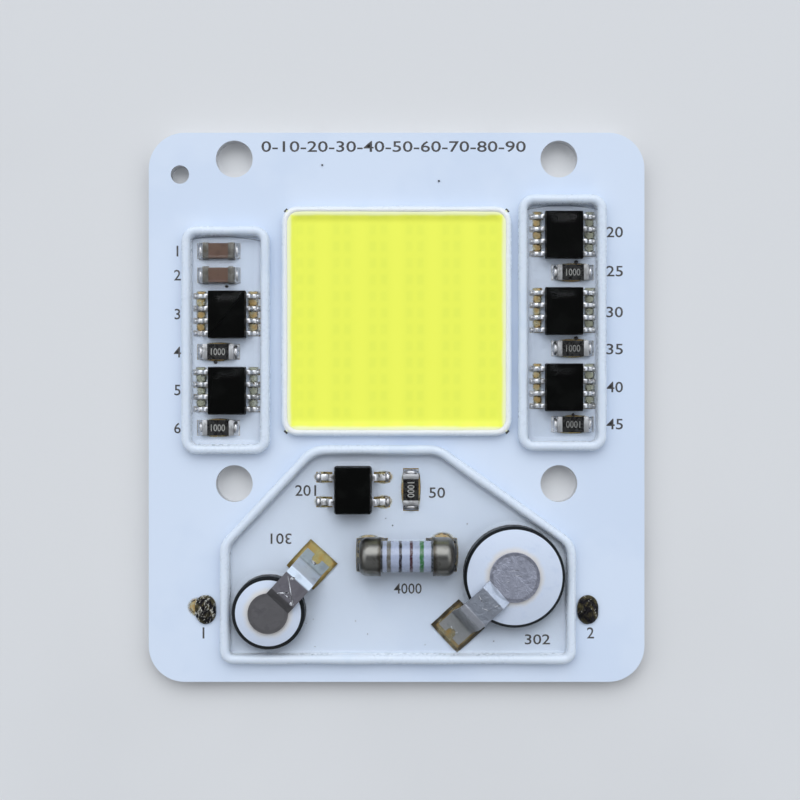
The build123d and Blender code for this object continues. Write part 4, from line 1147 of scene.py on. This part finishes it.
class MODULE_OT_specks(Making, bpy.types.Operator):
    """Drop the few dark beads of solder and specks of dust that the board carries"""

    bl_idname = "module.specks"
    bl_label = "Specks"

    def execute(self, context):
        parts = context.scene.module_parts
        random.seed(context.scene.module_stage.seed + 1)
        dark = metal_finish("dark_specks", tuple(0.15 * c for c in parts.solder), parts, amount=0.3,
                            smooth=0.2, rough=0.5)
        ball = blob("ball", (1.0, 1.0, 1.0), 0.15, (16, 10), 0.6)
        rows = [(18.43, 6.05, 0.42), (18.43, -1.75, 0.42), (18.12, -9.62, 0.34), (-18.58, -4.2, 0.4),
                (-17.45, 3.62, 0.36), (4.36, 14.43, 0.22), (-7.65, 16.07, 0.2)]
        rows += [(random.uniform(-14, 10), random.uniform(-33.5, -30.5), random.uniform(0.08, 0.16))
                 for _ in range(7)]
        rows += [(random.uniform(-2, 12), random.uniform(-21.5, -19.5), random.uniform(0.08, 0.14))
                 for _ in range(3)]
        made = copied(ball, [((x, y, MASK_TOP + 0.002), 0.0, (size,) * 3) for x, y, size in rows])
        kept(joined(made), "dark_specks", dark, "solder", smooth=60.0)
        dropped(ball)
        return {"FINISHED"}


class MODULE_OT_printing(Making, bpy.types.Operator):
    """Print the plain numbers and the corner ticks"""

    bl_idname = "module.printing"
    bl_label = "Printing"

    def execute(self, context):
        board = context.scene.module_board
        ink = plain_finish("screen_ink", board.ink, tuple(1.8 * c for c in board.ink), 0.002, patch_scale=1.5,
                           smooth=0.5, rough=0.7)
        rows = [("0-10-20-30-40-50-60-70-80-90", -0.31, 17.98, 1.13, 27.2, 0)]
        left = zip("123456", (7.22, 4.75, 0.74, -3.17, -7.08, -10.99))
        rows += [(text, -22.55, y, 1.1, None, 0) for text, y in left]
        right = zip(("20", "25", "30", "35", "40", "45"), (9.18, 5.16, 0.95, -2.86, -6.77, -10.58))
        rows += [(text, 22.44, y, 1.1, 1.7, 0) for text, y in right]
        rows += [("201", -9.34, -17.4, 1.13, 2.15, 0), ("50", 4.16, -17.62, 1.1, 1.65, 0),
                 ("301", -11.87, -22.35, 1.1, 2.15, pi), ("4000", 1.15, -27.47, 1.07, 2.85, 0),
                 ("302", 14.47, -32.69, 1.05, 2.6, 0), ("1", -19.87, -32.06, 1.15, None, 0),
                 ("2", 19.95, -32.06, 1.15, None, 0)]
        numbers = [self.number(text, (x, y, MASK_TOP), tall, wide, turn, board.ink_height)
                   for text, x, y, tall, wide, turn in rows]
        kept(joined(numbers), "printed_numbers", ink, "solder_mask", smooth=None)
        dashes = []
        for x in (-1, 1):
            for y in (-1, 1):
                dash = made_with(bpy.ops.mesh.primitive_cube_add, (0.44, 0.2, 2 * board.ink_height / MM),
                                 size=1, location=(0, 0, 0))
                rounded(dash, 0.06 * MM, 2, 60)
                set_down(dash, (x * TICK_CORNER, y * TICK_CORNER, MASK_TOP), atan2(x, -y))
                dashes.append(dash)
        kept(joined(dashes), "corner_ticks", ink, "solder_mask", smooth=None)
        pale = plain_finish("code_ink", (0.42, 0.42, 0.40), (0.25, 0.25, 0.24), 0.002, smooth=0.4, rough=0.6)
        marks = [("1000", (x, y, CHIP_TOP), 0.72, 1.45, pi if (x, y) == RIGHT_SENSES[-1] else 0.0)
                 for x, y in LEFT_SENSES + RIGHT_SENSES]
        marks.append(("1000", (*BLEED, CHIP_TOP), 0.72, 1.55, -pi / 2))
        codes = [self.number(*mark, board.ink_height) for mark in marks]
        kept(joined(codes), "resistor_codes", pale, "resistor_ceramic", smooth=None)
        return {"FINISHED"}

    def number(self, text, place, tall, wide, turn, thick):
        """A plain number as a mesh, of a stated height and width in millimetres, centred on its place."""
        made = made_with(bpy.ops.object.text_add)
        made.data.body = text
        made.data.resolution_u = 3
        made.data.extrude = 0.1
        made.data.offset = 0.007
        bpy.ops.object.convert(target="MESH")
        made = bpy.context.object
        xs, ys = [v.co.x for v in made.data.vertices], [v.co.y for v in made.data.vertices]
        rise = tall * MM / (max(ys) - min(ys))
        stretch = wide * MM / (max(xs) - min(xs)) if wide else rise
        made.data.transform(Matrix.Translation((-(max(xs) + min(xs)) / 2, -(max(ys) + min(ys)) / 2, 0)))
        set_down(made, place, turn, (stretch, rise, thick / 0.1))
        return made


class MODULE_OT_stage(Making, bpy.types.Operator):
    """Set the pale floor, the soft lights and the camera straight above"""

    bl_idname = "module.stage"
    bl_label = "Stage"

    def execute(self, context):
        stage = context.scene.module_stage
        floor = made_with(bpy.ops.mesh.primitive_plane_add, size=stage.floor_size)
        floor.name = "floor"
        floor.data.materials.append(plain_finish("floor_paper", stage.floor,
                                                 tuple(0.97 * c for c in stage.floor), 0.005,
                                                 patch_scale=0.01, smooth=0.7, rough=0.9, grain=2.0))
        for name, place, size, power in (
            ("key_light", (-0.05, 0.60, 0.70), 0.8, stage.key),
            ("fill_light", (0.60, -0.20, 0.50), 0.6, stage.fill),
            ("side_light", (-0.66, -0.10, 0.46), 0.6, stage.fill),
        ):
            light = bpy.data.lights.new(name, "AREA")
            light.shape = "DISK"
            light.size = size
            light.energy = power
            lamp = bpy.data.objects.new(name, light)
            context.collection.objects.link(lamp)
            lamp.location = place
            lamp.rotation_euler = (Vector((0, -0.009, 0)) - Vector(place)).to_track_quat("-Z", "Y").to_euler()
        world = bpy.data.worlds.new("room")
        world.use_nodes = True
        wires = Wiring(world.node_tree)
        _, back, up = wires.axes(wires.add("TexCoord").outputs["Generated"])
        background = world.node_tree.nodes["Background"]
        wires.feed(background.inputs["Color"], (0.885, 0.932, 1.0))
        across = wires.times(wires.step(back, -0.6, 0.6, 0.2, 1.0), wires.step(up, 0.1, 0.6, 0.1, 1.0))
        overhead = wires.step(up, 0.93, 0.985, stage.sky, 0.02 * stage.sky)
        wires.feed(background.inputs["Strength"], wires.times(across, overhead))
        context.scene.world = world
        context.scene.view_settings.view_transform = "Standard"
        lens = bpy.data.cameras.new("camera")
        lens.lens = stage.lens
        lens.clip_start = 0.01
        camera = bpy.data.objects.new("camera", lens)
        context.collection.objects.link(camera)
        camera.location = (0.35 * MM, -8.1 * MM, stage.height)
        context.scene.camera = camera
        return {"FINISHED"}


class MODULE_PT_panel(bpy.types.Panel):
    """Buttons that make the module's pieces"""

    bl_idname = "MODULE_PT_panel"
    bl_label = "LED module"
    bl_space_type = "VIEW_3D"
    bl_region_type = "UI"
    bl_category = "LED module"

    def draw(self, context):
        for operator in OPERATORS:
            self.layout.operator(operator.bl_idname)
        for name, group in SETTINGS:
            for setting in group.__annotations__:
                self.layout.prop(getattr(context.scene, name), setting)


OPERATORS = (MODULE_OT_board, MODULE_OT_light_area, MODULE_OT_beads, MODULE_OT_gel, MODULE_OT_packages,
             MODULE_OT_surge_resistor, MODULE_OT_varistors, MODULE_OT_solder, MODULE_OT_flux,
             MODULE_OT_specks, MODULE_OT_printing, MODULE_OT_stage)
SETTINGS = (("module_board", BoardSettings), ("module_light", LightSettings),
            ("module_potting", PottingSettings), ("module_parts", PartSettings),
            ("module_stage", StageSettings))


def register():
    for name, group in SETTINGS:
        bpy.utils.register_class(group)
        setattr(bpy.types.Scene, name, PointerProperty(type=group))
    for cls in (*OPERATORS, MODULE_PT_panel):
        bpy.utils.register_class(cls)


def unregister():
    for cls in (MODULE_PT_panel, *reversed(OPERATORS)):
        bpy.utils.unregister_class(cls)
    for name, group in reversed(SETTINGS):
        delattr(bpy.types.Scene, name)
        bpy.utils.unregister_class(group)


def main():
    """Makes everything in order."""
    register()
    for old in [o for o in bpy.context.scene.objects if o.name in ("Cube", "Light", "Camera")]:
        bpy.data.objects.remove(old)
    for operator in OPERATORS:
        group, name = operator.bl_idname.split(".")
        getattr(getattr(bpy.ops, group), name)()


if __name__ == "__main__":
    main()
